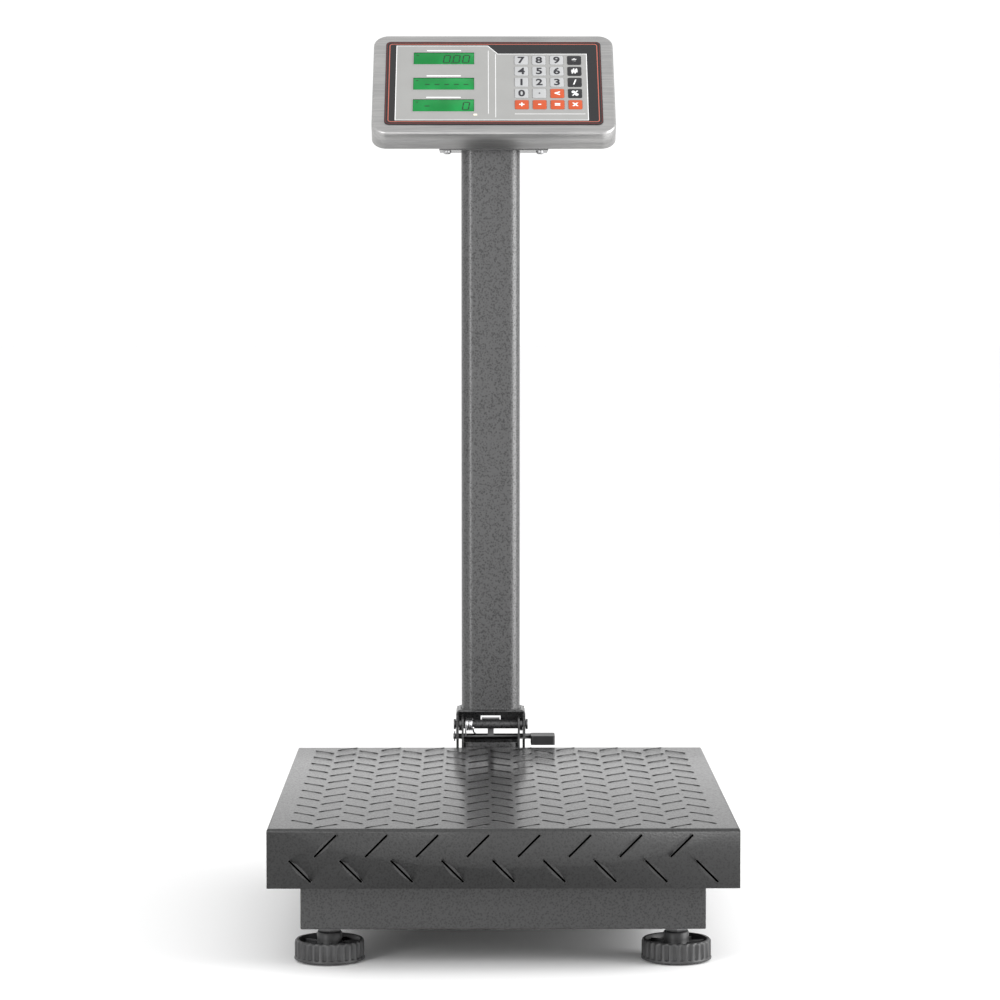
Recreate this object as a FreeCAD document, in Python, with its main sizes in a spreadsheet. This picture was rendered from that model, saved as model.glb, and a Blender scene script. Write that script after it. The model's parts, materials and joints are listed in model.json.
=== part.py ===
import FreeCAD, Part
import math
import os
import re
import Sketcher

# Folding bench scale: a treaded steel platform on a welded base with four screw feet,
# a tube mast on a folding hinge with a spring lock, and a tilted display head.
# Millimetres.  +Z up, -Y is the user's side, +X the user's right.  The origin lies on
# the floor under the middle of the whole scale.

NEARLY_ONE, NEARLY_ZERO = 0.999, 0.01

doc = FreeCAD.newDocument("bench_scale")
sheet = doc.addObject("Spreadsheet::Sheet", "dims")

SIZES = {
    # platform pan, folded from treaded sheet
    "pan_width": 400, "pan_depth": 500, "pan_top": 125, "skirt": 51, "sheet_gauge": 2,
    "pan_middle": -55, "past": 1,
    # welded base of folded channels
    "base_width": 346, "base_inset": 27, "base_bottom": 34, "base_top": 81,
    "channel_flange": 28, "channel_gauge": 2, "member_width": 60, "member_height": 10,
    # screw feet
    "foot_across": 150, "foot_inset": 67, "stud_radius": 5.9, "stud_top": 61, "stud_hole": 6.2,
    "wheel_radius": 30, "wheel_lip": 30.5, "wheel_bottom": 1.2, "wheel_top": 18.6, "hub_radius": 10,
    "hub_top": 25, "dish": 7, "lip_height": 2, "wheel_ease": 1, "rim_wall": 4, "dish_wall": 6,
    "flute_radius": 1.2, "flutes": 42, "pad_radius": 22, "pad_height": 3.5,
    "recess_radius": 22.6, "recess_top": 3.8,
    "nut_across": 19, "nut_height": 8, "jam_nut_across": 19, "jam_nut_height": 7,
    # load cell, weigh frame and its stops
    "cell_width": 40, "cell_length": 150, "cell_height": 40, "cell_bottom": 48,
    "cell_bore": 12, "cell_bore_shift": 9,
    "bolt_radius": 4, "bolt_head": 6.5, "bolt_head_height": 5, "bolt_pitch": 20, "bolt_span": 55,
    "bolt_reach": 14,
    "frame_bottom": 93, "frame_top": 115, "bar_length": 340, "bar_width": 30, "stop_gap": 0.6,
    "rest_pad_radius": 15, "stop_shift": 8,
    # mast tube and the fixed post it folds on
    "mast_offset": -9, "tube_width": 58, "tube_depth": 38, "tube_corner": 12, "tube_gauge": 1.5,
    "pivot_y": 219, "pivot_z": 145, "tube_front": 12, "post_rim": 127.8, "mast_top": 715,
    "arm_width": 84, "arm_rear": 251, "arm_top": 69,
    # hinge
    "ear_gauge": 2, "ear_radius": 10, "ear_foot": 27, "pin_radius": 3, "barrel_radius": 4.5,
    "running_gap": 0.06, "pin_head": 5.2, "pin_head_height": 2.2, "washer_radius": 6.5,
    "washer_gap": 0.3, "bracket_width": 69, "bracket_gauge": 2.5, "bracket_top": 16,
    "bracket_front": 11, "bracket_rear": 27.5, "bracket_corner": 5.5, "leg_front": 9, "leg_drop": 29,
    "leg_eye": 15.2, "lock_plate_drop": -2,
    # spring lock
    "lock_y": 14, "lock_drop": 14, "lock_radius": 2.75, "lock_boss": 4.5, "lock_notch": 4.5,
    "slot_half": 10, "slot_low": 1, "slot_high": 5.3, "tongue_half": 9, "tongue_low": 1.4,
    "tongue_gauge": 2, "rod_end": 3, "nut_inset": 0.8, "grip_overlap": 2, "grip_corner": 2.4,
    "grip_drop": 1.6,
    "tongue_rear": 27.1, "arm_gauge": 2.5, "arm_half": 3, "push_nut_radius": 5, "push_nut_gauge": 1.2,
    "grip_start": 40, "grip_width": 24, "grip_front": 8, "grip_rear": 18, "grip_height": 9,
    "spring_wire": 0.8, "spring_radius": 6, "spring_pitch": 1.9, "spring_turns": 4, "spring_start": 25,
    # display head, in its own frame: x across, y up the face, z out of the face
    "head_offset": -6, "head_y": 235.89, "head_z": 782.6, "tilt": 43.1, "head_width": 240,
    "head_height": 150, "head_depth": 21, "head_corner": 15, "head_gauge": 1, "head_edge": 2.5,
    "window_width": 198, "window_height": 114, "window_corner": 3,
    "overlay_width": 215, "overlay_height": 127, "overlay_gauge": 0.8, "overlay_corner": 5,
    "key_size": 13.6, "key_gap": 0.3, "key_corner": 1.6, "key_low": -0.6, "key_high": 1.25,
    "key_column": 27.7, "key_pitch": 17.6, "key_row": 34.4, "row_pitch": 17.1,
    "lcd_width": 60.5, "lcd_height": 18.4, "lcd_across": -49.5, "lcd_gap": 0.25,
    "lcd_corner": 1, "lcd_sink": 0.3,
    "lcd_weight": 37.3, "lcd_price": -2, "lcd_total": -35.1,
    "board_low": -3.2, "board_gauge": 1.6, "board_width": 196, "board_height": 112, "board_corner": 2,
    # wedge under the head, its battery, switch and charging socket
    "plate_width": 107, "plate_front": 197, "plate_rear": 270, "plate_gauge": 2, "plate_screw": 46,
    "screw_radius": 2, "screw_head": 4, "screw_head_height": 3.5, "screw_reach": 7, "wedge_width": 106,
    "wedge_front": 200.5, "wedge_rear": 280, "wedge_gauge": 1.2, "wedge_rise": 0.2,
    "wedge_wall": 3, "wedge_open": 9, "panel_gap": 0.4,
    "battery_width": 92, "battery_depth": 40, "battery_height": 14, "battery_gap": 12,
    "rocker_width": 19, "rocker_height": 12, "rocker_depth": 9, "rocker_proud": 2.8, "rocker_z": 739,
    "rocker_sink": 3.4, "rocker_pivot": 2, "rocker_lean": 7, "rocker_rim": 2, "rocker_rim_gauge": 1.5,
    "rocker_wall": 1.5, "rocker_floor": 1, "rocker_side_gap": 3.6, "rocker_end_gap": 4, "inlet_cut": 4,
    "rocker_x": 26, "socket_x": -30, "socket_radius": 5.5, "socket_bore": 2.75, "socket_depth": 11,
    "socket_proud": 2, "socket_floor": 1.5, "socket_pin": 1, "socket_pin_short": 4,
}
for row, (alias, value) in enumerate(SIZES.items(), start=1):
    sheet.set("A%d" % row, str(value))
    sheet.setAlias("A%d" % row, alias)
doc.recompute()

subparts = []


def formula(text):
    """Point every name in the text at its cell of the sheet."""
    return re.sub(r"[a-z]+(?:_[a-z]+)*", lambda found: "dims." + found.group(0), str(text))


def size(alias):
    return float(sheet.get(alias))


def bind(thing, **sizes):
    for name, text in sizes.items():
        thing.setExpression(name, formula(text))


def put(thing, at):
    for axis, text in zip("xyz", at):
        thing.setExpression("Placement.Base." + axis, formula(text))
    return thing


def block(name, low, high):
    """A box between two corners."""
    thing = doc.addObject("Part::Box", name)
    spans = ["(%s) - (%s)" % (top, bottom) for top, bottom in zip(high, low)]
    bind(thing, Length=spans[0], Width=spans[1], Height=spans[2])
    return put(thing, low)


TURNS = {
    "X": FreeCAD.Rotation(FreeCAD.Vector(0, 1, 0), 90),
    "Y": FreeCAD.Rotation(FreeCAD.Vector(1, 0, 0), -90),
    "Z": FreeCAD.Rotation(),
}


def rod(name, radius, length, at, along="Z"):
    """A round bar that starts at a point and runs along +X, +Y or +Z."""
    thing = doc.addObject("Part::Cylinder", name)
    bind(thing, Radius=radius, Height=length)
    thing.Placement = FreeCAD.Placement(FreeCAD.Vector(), TURNS[along])
    return put(thing, at)


def hexagon(name, across, length, at):
    """A hexagonal nut blank along +Z, sized across its flats."""
    thing = doc.addObject("Part::Prism", name)
    thing.Polygon = 6
    bind(thing, Circumradius="(%s) / %.6f" % (across, math.sqrt(3)), Height=length)
    return put(thing, at)


def fuse(name, shapes):
    thing = doc.addObject("Part::MultiFuse", name)
    thing.Shapes = shapes
    return thing


def cut(name, base, tools):
    thing = doc.addObject("Part::Cut", name)
    thing.Base = base
    thing.Tool = tools[0] if len(tools) == 1 else fuse(name + "_tools", tools)
    return thing


def group(name, shapes):
    """Separate solids that share one node."""
    thing = doc.addObject("Part::Compound", name)
    thing.Links = shapes
    return thing


def subpart(label, thing):
    thing.Label = label
    subparts.append(thing)
    return thing


def origin_plane(body, role):
    return next(item for item in body.Origin.OriginFeatures if item.Role == role)


def sketch_on(body, name, role):
    sketch = body.newObject("Sketcher::SketchObject", name)
    sketch.AttachmentSupport = [(origin_plane(body, role), "")]
    sketch.MapMode = "FlatFace"
    return sketch


# how a sketch numbers the ends and centre of a curve, and its own X axis and origin
START, END, CENTRE = 1, 2, 3
X_AXIS, ORIGIN = -1, (-1, START)


def outline(sketch, corners):
    """A closed outline whose corners are each held by two formulas."""
    count = len(corners)
    guess = [FreeCAD.Vector(evaluate(across), evaluate(up), 0) for across, up in corners]
    for index in range(count):
        sketch.addGeometry(Part.LineSegment(guess[index], guess[(index + 1) % count]), False)
    for index in range(count):
        sketch.addConstraint(Sketcher.Constraint("Coincident", index, END, (index + 1) % count, START))
    for index, (across, up) in enumerate(corners):
        for kind, text, value in (("DistanceX", across, guess[index].x), ("DistanceY", up, guess[index].y)):
            held = sketch.addConstraint(Sketcher.Constraint(kind, *ORIGIN, index, START, value))
            sketch.renameConstraint(held, "%s_%d" % (kind, index))
            sketch.setExpression("Constraints.%s_%d" % (kind, index), formula(text))


def evaluate(text):
    """The number that a formula stands for."""
    words = re.sub(r"[a-z]+(?:_[a-z]+)*", lambda found: "(%r)" % size(found.group(0)), str(text))
    return float(FreeCAD.Units.Quantity(words).Value)


def rectangle(width, height):
    """The corners of a centred rectangle."""
    return [("-(%s) / 2" % width, "-(%s) / 2" % height), ("(%s) / 2" % width, "-(%s) / 2" % height),
            ("(%s) / 2" % width, "(%s) / 2" % height), ("-(%s) / 2" % width, "(%s) / 2" % height)]


def extrusion(name, role, corners, length, both_ways=False):
    """A body padded from one outline."""
    body = doc.addObject("PartDesign::Body", name)
    sketch = sketch_on(body, name + "_outline", role)
    outline(sketch, corners)
    pad = body.newObject("PartDesign::Pad", name + "_pad")
    pad.Profile = sketch
    pad.Midplane = both_ways
    bind(pad, Length=length)
    body.Tip = pad
    doc.recompute()
    return body


def soften(body, name, radius, wanted):
    """Round the edges of a body that a test picks out."""
    base = body.Tip
    edges = ["Edge%d" % (index + 1) for index, edge in enumerate(base.Shape.Edges) if wanted(edge)]
    fillet = body.newObject("PartDesign::Fillet", name)
    fillet.Base = (base, edges)
    bind(fillet, Radius=radius)
    body.Tip = fillet
    doc.recompute()
    return body


def runs_along(edge, axis):
    """True for a straight edge along one axis."""
    return isinstance(edge.Curve, Part.Line) and abs(getattr(edge.Curve.Direction, axis)) > NEARLY_ONE


def upright(edge):
    return runs_along(edge, "z")


def slab(name, width, height, thickness, corner):
    """A plate with rounded corners, centred on its own origin and rising along +Z."""
    body = extrusion(name, "XY_Plane", rectangle(width, height), thickness)
    return soften(body, name + "_corners", corner, upright)


# ---------------------------------------------------------------- platform and base

PAN_FRONT = "pan_middle - pan_depth / 2"
PAN_REAR = "pan_middle + pan_depth / 2"
BASE_FRONT = PAN_FRONT + " + base_inset"
BASE_REAR = PAN_REAR + " - base_inset"
FOOT_YS = {"front": PAN_FRONT + " + foot_inset", "rear": PAN_REAR + " - foot_inset"}
SIDES = {"left": -1, "right": 1}


def platform_pan():
    outer = block("pan_outer", ["-pan_width / 2", PAN_FRONT, "pan_top - skirt"],
                  ["pan_width / 2", PAN_REAR, "pan_top"])
    inner = block("pan_inner",
                  ["sheet_gauge - pan_width / 2", PAN_FRONT + " + sheet_gauge", "pan_top - skirt - past"],
                  ["pan_width / 2 - sheet_gauge", PAN_REAR + " - sheet_gauge", "pan_top - sheet_gauge"])
    return subpart("platform_pan", cut("pan", outer, [inner]))


def end_rail(name, face, inward):
    """A channel across the base: its web outside, its flanges towards the middle."""
    back = "%s + %d * channel_flange" % (face, inward)
    low_y, high_y = (face, back) if inward > 0 else (back, face)
    outer = block(name + "_outer", ["-base_width / 2", low_y, "base_bottom"],
                  ["base_width / 2", high_y, "base_top"])
    shift_low = low_y + (" + channel_gauge" if inward > 0 else " - past")
    shift_high = high_y + (" + past" if inward > 0 else " - channel_gauge")
    inner = block(name + "_inner",
                  ["channel_gauge - base_width / 2", shift_low, "base_bottom + channel_gauge"],
                  ["base_width / 2 - channel_gauge", shift_high, "base_top - channel_gauge"])
    return cut(name, outer, [inner])


def side_rail(name, side):
    """A channel along one side of the base, with a hole over each foot."""
    web = "%d * base_width / 2" % side
    lip = "%d * (base_width / 2 - channel_flange)" % side
    inside = "%d * (base_width / 2 - channel_gauge)" % side
    beyond = "%d * (base_width / 2 - channel_flange - past)" % side
    low_x, high_x = (lip, web) if side > 0 else (web, lip)
    hollow_low, hollow_high = (beyond, inside) if side > 0 else (inside, beyond)
    front = BASE_FRONT + " + channel_flange"
    rear = BASE_REAR + " - channel_flange"
    outer = block(name + "_outer", [low_x, front, "base_bottom"], [high_x, rear, "base_top"])
    inner = block(name + "_inner", [hollow_low, front + " - past", "base_bottom + channel_gauge"],
                  [hollow_high, rear + " + past", "base_top - channel_gauge"])
    holes = [rod("%s_%s_hole" % (name, end), "stud_hole", "channel_gauge * 3",
                 ["%d * foot_across" % side, at, "base_bottom - channel_gauge"])
             for end, at in FOOT_YS.items()]
    return cut(name, outer, [inner] + holes)


def bolt_spots(end):
    """The four places where bolts enter one end of the load cell."""
    for across in (-1, 1):
        for along in (-1, 1):
            reach = "pan_middle + %d * bolt_span + %d * bolt_pitch / 2" % (end, along)
            yield "%d%d" % (across + 1, along + 1), ["%d * bolt_pitch / 2" % across, reach]


def bolt_holes(name, end, low, high):
    return [rod("%s_%s" % (name, tag), "bolt_radius + running_gap", "(%s) - (%s)" % (high, low), spot + [low])
            for tag, spot in bolt_spots(end)]


def base_rails():
    subpart("base_end_rails", group("end_rails", [end_rail("front_rail", BASE_FRONT, 1),
                                                  end_rail("rear_rail", BASE_REAR, -1)]))
    rails = [side_rail(name + "_rail", side) for name, side in SIDES.items()]
    subpart("base_side_rails", group("side_rails", rails))
    floor = "base_bottom + channel_gauge"
    member = block("member", ["-member_width / 2", BASE_FRONT + " + channel_gauge", floor],
                   ["member_width / 2", BASE_REAR + " - channel_gauge", floor + " + member_height"])
    trough = block("member_trough",
                   ["channel_gauge - member_width / 2", BASE_FRONT, "base_bottom"],
                   ["member_width / 2 - channel_gauge", BASE_REAR,
                    floor + " + member_height - channel_gauge"])
    spacer = block("member_spacer",
                   ["-cell_width / 2", "pan_middle - cell_length / 2", floor + " + member_height"],
                   ["cell_width / 2", "pan_middle - cell_length / 2 + bolt_pitch * 2", "cell_bottom"])
    holes = bolt_holes("member_hole", -1, "base_bottom", "base_top")
    blank = fuse("member_blank", [cut("member_channel", member, [trough]), spacer])
    subpart("base_cross_member", cut("cross_member", blank, holes))
    arm = block("arm", ["mast_offset - arm_width / 2", BASE_REAR, "base_bottom"],
                ["mast_offset + arm_width / 2", "arm_rear", "arm_top"])
    hollow = block("arm_hollow",
                   ["mast_offset - arm_width / 2 + channel_gauge", BASE_REAR + " - past",
                    "base_bottom - past"],
                   ["mast_offset + arm_width / 2 - channel_gauge", "arm_rear - channel_gauge",
                    "arm_top - channel_gauge"])
    subpart("post_arm", cut("post_arm", arm, [hollow]))


def foot_nuts():
    nuts = []
    for end, at in FOOT_YS.items():
        for side_name, side in SIDES.items():
            name = "nut_%s_%s" % (end, side_name)
            spot = ["%d * foot_across" % side, at, "base_bottom + channel_gauge"]
            blank = hexagon(name, "nut_across", "nut_height", spot)
            hole = rod(name + "_hole", "stud_radius + running_gap", "nut_height", spot)
            nuts.append(cut(name + "_nut", blank, [hole]))
    subpart("foot_nuts", group("weld_nuts", nuts))


def wheel_body(name):
    """The hand wheel: a turned dish with a hub and a rim of flutes."""
    body = doc.addObject("PartDesign::Body", name)
    profile = sketch_on(body, name + "_profile", "XZ_Plane")
    outline(profile, [("0", "recess_top"), ("recess_radius", "recess_top"),
                      ("recess_radius", "wheel_bottom"), ("wheel_lip", "wheel_bottom"),
                      ("wheel_lip", "wheel_bottom + lip_height"),
                      ("wheel_radius", "wheel_bottom + lip_height + wheel_ease"),
                      ("wheel_radius", "wheel_top - wheel_ease"), ("wheel_radius - wheel_ease", "wheel_top"),
                      ("wheel_radius - rim_wall", "wheel_top"),
                      ("wheel_radius - dish_wall", "wheel_top - dish"),
                      ("hub_radius + lip_height", "wheel_top - dish"),
                      ("hub_radius", "wheel_top - wheel_ease"),
                      ("hub_radius", "hub_top"), ("0", "hub_top")])
    turned = body.newObject("PartDesign::Revolution", name + "_turned")
    turned.Profile = profile
    turned.ReferenceAxis = (profile, ["V_Axis"])
    turned.Angle = 360
    body.Tip = turned
    doc.recompute()
    flute = sketch_on(body, name + "_flute", "XY_Plane")
    flute.addGeometry(Part.Circle(FreeCAD.Vector(size("wheel_radius"), 0, 0), FreeCAD.Vector(0, 0, 1),
                                  size("flute_radius")), False)
    flute.addConstraint(Sketcher.Constraint("PointOnObject", 0, CENTRE, X_AXIS))
    held = flute.addConstraint(Sketcher.Constraint("DistanceX", *ORIGIN, 0, CENTRE, size("wheel_radius")))
    flute.renameConstraint(held, "reach")
    flute.setExpression("Constraints.reach", formula("wheel_radius + flute_radius / 3"))
    held = flute.addConstraint(Sketcher.Constraint("Radius", 0, size("flute_radius")))
    flute.renameConstraint(held, "groove")
    flute.setExpression("Constraints.groove", formula("flute_radius"))
    flute.setExpression("AttachmentOffset.Base.z", formula("wheel_bottom + lip_height + wheel_ease"))
    pocket = body.newObject("PartDesign::Pocket", name + "_groove")
    pocket.Profile = flute
    pocket.Reversed = True
    bind(pocket, Length="wheel_top - wheel_bottom")
    body.Tip = pocket
    doc.recompute()
    ring = body.newObject("PartDesign::PolarPattern", name + "_flutes")
    ring.Originals = [pocket]
    ring.Axis = (flute, ["N_Axis"])
    ring.Angle = 360
    bind(ring, Occurrences="flutes")
    body.Tip = ring
    doc.recompute()
    return body


def feet():
    """Each foot is a rubber pad that only rises and a hand wheel on a screw that turns on it."""
    for end, at in FOOT_YS.items():
        for side_name, side in SIDES.items():
            spot = "%s_%s" % (end, side_name)
            across = "%d * foot_across" % side
            subpart("foot_pad_" + spot, rod("pad_" + spot, "pad_radius", "pad_height", [across, at, "0"]))
            wheel = wheel_body("wheel_" + spot)
            stud = rod("stud_" + spot, "stud_radius", "stud_top - hub_top", ["0", "0", "hub_top"])
            jam_nut = hexagon("jam_nut_" + spot, "jam_nut_across", "jam_nut_height", ["0", "0", "hub_top"])
            foot = fuse("foot_" + spot, [wheel, stud, jam_nut])
            subpart("foot_wheel_" + spot, put(foot, [across, at, "0"]))


# ---------------------------------------------------------------- weighing parts

def load_cell():
    low_y = "pan_middle - cell_length / 2"
    beam = block("cell_beam", ["-cell_width / 2", low_y, "cell_bottom"],
                 ["cell_width / 2", "pan_middle + cell_length / 2", "cell_bottom + cell_height"])
    middle = "cell_bottom + cell_height / 2"
    bores = [rod("cell_bore_%d" % index, "cell_bore", "cell_width + 2 * past",
                 ["-cell_width / 2 - past", "pan_middle + %d * cell_bore_shift" % shift, middle], "X")
             for index, shift in enumerate((-1, 1))]
    holes = bolt_holes("cell_low_hole", -1, "cell_bottom", "cell_bottom + bolt_reach")
    holes += bolt_holes("cell_high_hole", 1, "cell_bottom + cell_height - bolt_reach",
                        "cell_bottom + cell_height")
    subpart("load_cell", cut("cell", beam, bores + holes))


def cell_bolts(label, end, low, high, head_low):
    """Four bolts that run into one end of the load cell."""
    bolts = []
    for tag, spot in bolt_spots(end):
        shank = rod("%s_shank_%s" % (label, tag), "bolt_radius", "(%s) - (%s)" % (high, low), spot + [low])
        head = rod("%s_head_%s" % (label, tag), "bolt_head", "bolt_head_height", spot + [head_low])
        bolts.append(fuse("%s_bolt_%s" % (label, tag), [shank, head]))
    return subpart(label, group(label + "_set", bolts))


def weigh_frame():
    bars = []
    for end, at in FOOT_YS.items():
        outer = block("bar_" + end, ["-bar_length / 2", at + " - bar_width / 2", "frame_bottom"],
                      ["bar_length / 2", at + " + bar_width / 2", "frame_top"])
        inner = block("bar_hollow_" + end,
                      ["-bar_length / 2 - past", at + " - bar_width / 2 + channel_gauge",
                       "frame_bottom + channel_gauge"],
                      ["bar_length / 2 + past", at + " + bar_width / 2 - channel_gauge",
                       "frame_top - channel_gauge"])
        bars.append(cut("bar_tube_" + end, outer, [inner]))
    subpart("weigh_bars", group("bars", bars))
    front = FOOT_YS["front"] + " + bar_width / 2"
    rear = FOOT_YS["rear"] + " - bar_width / 2"
    spine = block("spine", ["-member_width / 2", front, "frame_bottom"],
                  ["member_width / 2", rear, "frame_top"])
    trough = block("spine_trough",
                   ["channel_gauge - member_width / 2", front + " - past", "frame_bottom + channel_gauge"],
                   ["member_width / 2 - channel_gauge", rear + " + past", "frame_top + past"])
    foot = block("spine_foot", ["-cell_width / 2", "pan_middle + cell_length / 2 - bolt_pitch * 2",
                                "cell_bottom + cell_height"],
                 ["cell_width / 2", "pan_middle + cell_length / 2", "frame_bottom"])
    holes = bolt_holes("spine_hole", 1, "cell_bottom", "frame_top")
    channel = cut("spine_open", spine, [trough])
    subpart("weigh_spine", cut("spine_channel", fuse("spine_blank", [channel, foot]), holes))


def weigh_pads_and_stops():
    """Rubber pads that the pan rests on, and bolts that catch the weigh frame when it is overloaded."""
    top = "frame_bottom - stop_gap"
    pads, stops = [], []
    for end, at in FOOT_YS.items():
        for side_name, side in SIDES.items():
            spot = "%s_%s" % (end, side_name)
            pads.append(rod("rest_" + spot, "rest_pad_radius", "pan_top - sheet_gauge - frame_top",
                            ["%d * foot_across" % side, at, "frame_top"]))
            stop_x = "%d * (foot_across + stop_shift)" % side
            shank = rod("stop_" + spot, "bolt_radius", top + " - base_top", [stop_x, at, "base_top"])
            head = rod("stop_head_" + spot, "bolt_head", "bolt_head_height",
                       [stop_x, at, top + " - bolt_head_height"])
            stops.append(fuse("stop_bolt_" + spot, [shank, head]))
    subpart("platform_pads", group("rest_pads", pads))
    subpart("overload_stops", group("stop_bolts", stops))


def cell_fasteners():
    under = "base_bottom + member_height"
    cell_bolts("cell_lower_bolts", -1, under, "cell_bottom + bolt_reach", under + " - bolt_head_height")
    over = "frame_bottom + channel_gauge"
    cell_bolts("cell_upper_bolts", 1, "cell_bottom + cell_height - bolt_reach", over + " + past", over)


# ---------------------------------------------------------------- mast, hinge and lock

def rounded_tube(name, low, high):
    """A length of the mast tube between two heights, standing over the hinge."""
    length = "(%s) - (%s)" % (high, low)
    outer = slab(name + "_outer", "tube_width", "tube_depth", length, "tube_corner")
    inner = slab(name + "_inner", "tube_width - 2 * tube_gauge", "tube_depth - 2 * tube_gauge",
                 length, "tube_corner - tube_gauge")
    tube = cut(name, outer, [inner])
    return put(tube, ["mast_offset", "pivot_y - tube_front + tube_depth / 2", low])


def hinge_post():
    """The stub of tube on the base, with an ear on each side that carries the hinge and the lock rod."""
    tube = rounded_tube("post", "arm_top", "post_rim")
    ears = []
    for side_name, side in SIDES.items():
        low_x = "mast_offset + tube_width / 2 - ear_gauge" if side > 0 else "mast_offset - tube_width / 2"
        high_x = low_x + " + ear_gauge"
        ears.append(block("ear_neck_" + side_name, [low_x, "pivot_y - ear_radius", "pivot_z - ear_foot"],
                          [high_x, "pivot_y + ear_radius", "pivot_z"]))
        ears.append(block("ear_rear_" + side_name, [low_x, "pivot_y", "pivot_z - ear_foot"],
                          [high_x, "pivot_y + lock_y + lock_boss", "pivot_z - lock_drop"]))
        ears.append(rod("ear_eye_" + side_name, "ear_radius", "ear_gauge",
                        [low_x, "pivot_y", "pivot_z"], "X"))
        ears.append(rod("ear_boss_" + side_name, "lock_boss", "ear_gauge",
                        [low_x, "pivot_y + lock_y", "pivot_z - lock_drop"], "X"))
    start = "mast_offset - tube_width"
    pin_hole = rod("post_pin_hole", "pin_radius", "tube_width * 2", [start, "pivot_y", "pivot_z"], "X")
    rod_hole = rod("post_rod_hole", "lock_radius + running_gap", "tube_width * 2",
                   [start, "pivot_y + lock_y", "pivot_z - lock_drop"], "X")
    subpart("hinge_post", cut("post_with_ears", fuse("post_blank", [tube] + ears), [pin_hole, rod_hole]))


def hinge_pin():
    between = "tube_width - 2 * ear_gauge"
    inner_x = "mast_offset - tube_width / 2 + ear_gauge"
    sleeve = rod("barrel", "barrel_radius", between, [inner_x, "pivot_y", "pivot_z"], "X")
    bore = rod("barrel_bore", "pin_radius", between, [inner_x, "pivot_y", "pivot_z"], "X")
    subpart("pivot_barrel", cut("pivot_sleeve", sleeve, [bore]))
    outer_x = "mast_offset - bracket_width / 2 - washer_gap"
    shank = rod("pin_shank", "pin_radius", "bracket_width + 2 * washer_gap",
                [outer_x, "pivot_y", "pivot_z"], "X")
    heads = [rod("pin_head_left", "pin_head", "pin_head_height",
                 [outer_x + " - pin_head_height", "pivot_y", "pivot_z"], "X"),
             rod("pin_head_right", "pin_head", "pin_head_height",
                 ["mast_offset + bracket_width / 2 + washer_gap", "pivot_y", "pivot_z"], "X")]
    subpart("pivot_pin", fuse("pin", [shank] + heads))
    gap = "bracket_width / 2 - bracket_gauge - tube_width / 2 - washer_gap"
    washers = []
    for side_name, side in SIDES.items():
        low_x = "mast_offset + tube_width / 2" if side > 0 else "mast_offset - tube_width / 2 - (%s)" % gap
        disc = rod("washer_" + side_name, "washer_radius", gap, [low_x, "pivot_y", "pivot_z"], "X")
        eye = rod("washer_eye_" + side_name, "pin_radius", gap, [low_x, "pivot_y", "pivot_z"], "X")
        washers.append(cut("washer_ring_" + side_name, disc, [eye]))
    subpart("pivot_washers", group("washers", washers))


def pole_bracket():
    """An inverted channel under the mast: its legs straddle the post, a slotted plate takes the lock."""
    left = "mast_offset - bracket_width / 2"
    right = "mast_offset + bracket_width / 2"
    body = extrusion("bracket_blank", "XZ_Plane",
                     [(left, "pivot_z - leg_drop"), (right, "pivot_z - leg_drop"),
                      (right, "pivot_z + bracket_top"), (left, "pivot_z + bracket_top")],
                     "bracket_rear + bracket_front")
    crown = size("pivot_z") + size("bracket_top") - size("past")
    soften(body, "bracket_crown", "bracket_corner",
           lambda edge: runs_along(edge, "y") and edge.CenterOfMass.z > crown)
    put(body, ["0", "pivot_y + bracket_rear", "0"])
    channel = block("bracket_channel",
                    [left + " + bracket_gauge", "pivot_y - bracket_front - past",
                     "pivot_z - leg_drop - past"],
                    [right + " - bracket_gauge", "pivot_y + bracket_rear + past",
                     "pivot_z + bracket_top - bracket_gauge"])
    wide = "bracket_width + 2 * past"
    start = left + " - past"
    trim = block("leg_front_trim", [start, "pivot_y - bracket_front - past", "pivot_z - leg_drop - past"],
                 [start + " + " + wide, "pivot_y - leg_front", "pivot_z + bracket_top - bracket_gauge"])
    sweep = block("leg_sweep", [start, "pivot_y - bracket_front - past", "pivot_z - leg_drop - past"],
                  [start + " + " + wide, "pivot_y + lock_y + lock_notch", "pivot_z - lock_drop"])
    eye = rod("leg_eye", "leg_eye", wide, [start, "pivot_y", "pivot_z"], "X")
    notch = rod("lock_notch", "lock_notch", wide, [start, "pivot_y + lock_y", "pivot_z - lock_drop"], "X")
    pin_hole = rod("bracket_pin_hole", "pin_radius + running_gap", wide, [start, "pivot_y", "pivot_z"], "X")
    channelled = cut("bracket_legs", body, [channel, trim, cut("leg_gap", sweep, [eye]), notch, pin_hole])
    plate = block("lock_plate",
                  [left + " + past", "pivot_y + bracket_rear - bracket_gauge", "pivot_z + lock_plate_drop"],
                  [right + " - past", "pivot_y + bracket_rear", "pivot_z + bracket_top - past"])
    slot = block("lock_slot", ["mast_offset - slot_half", "pivot_y", "pivot_z + slot_low"],
                 ["mast_offset + slot_half", "pivot_y + bracket_rear + past", "pivot_z + slot_high"])
    subpart("pole_bracket", cut("slotted_bracket", fuse("bracket_with_plate", [channelled, plate]), [slot]))


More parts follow.
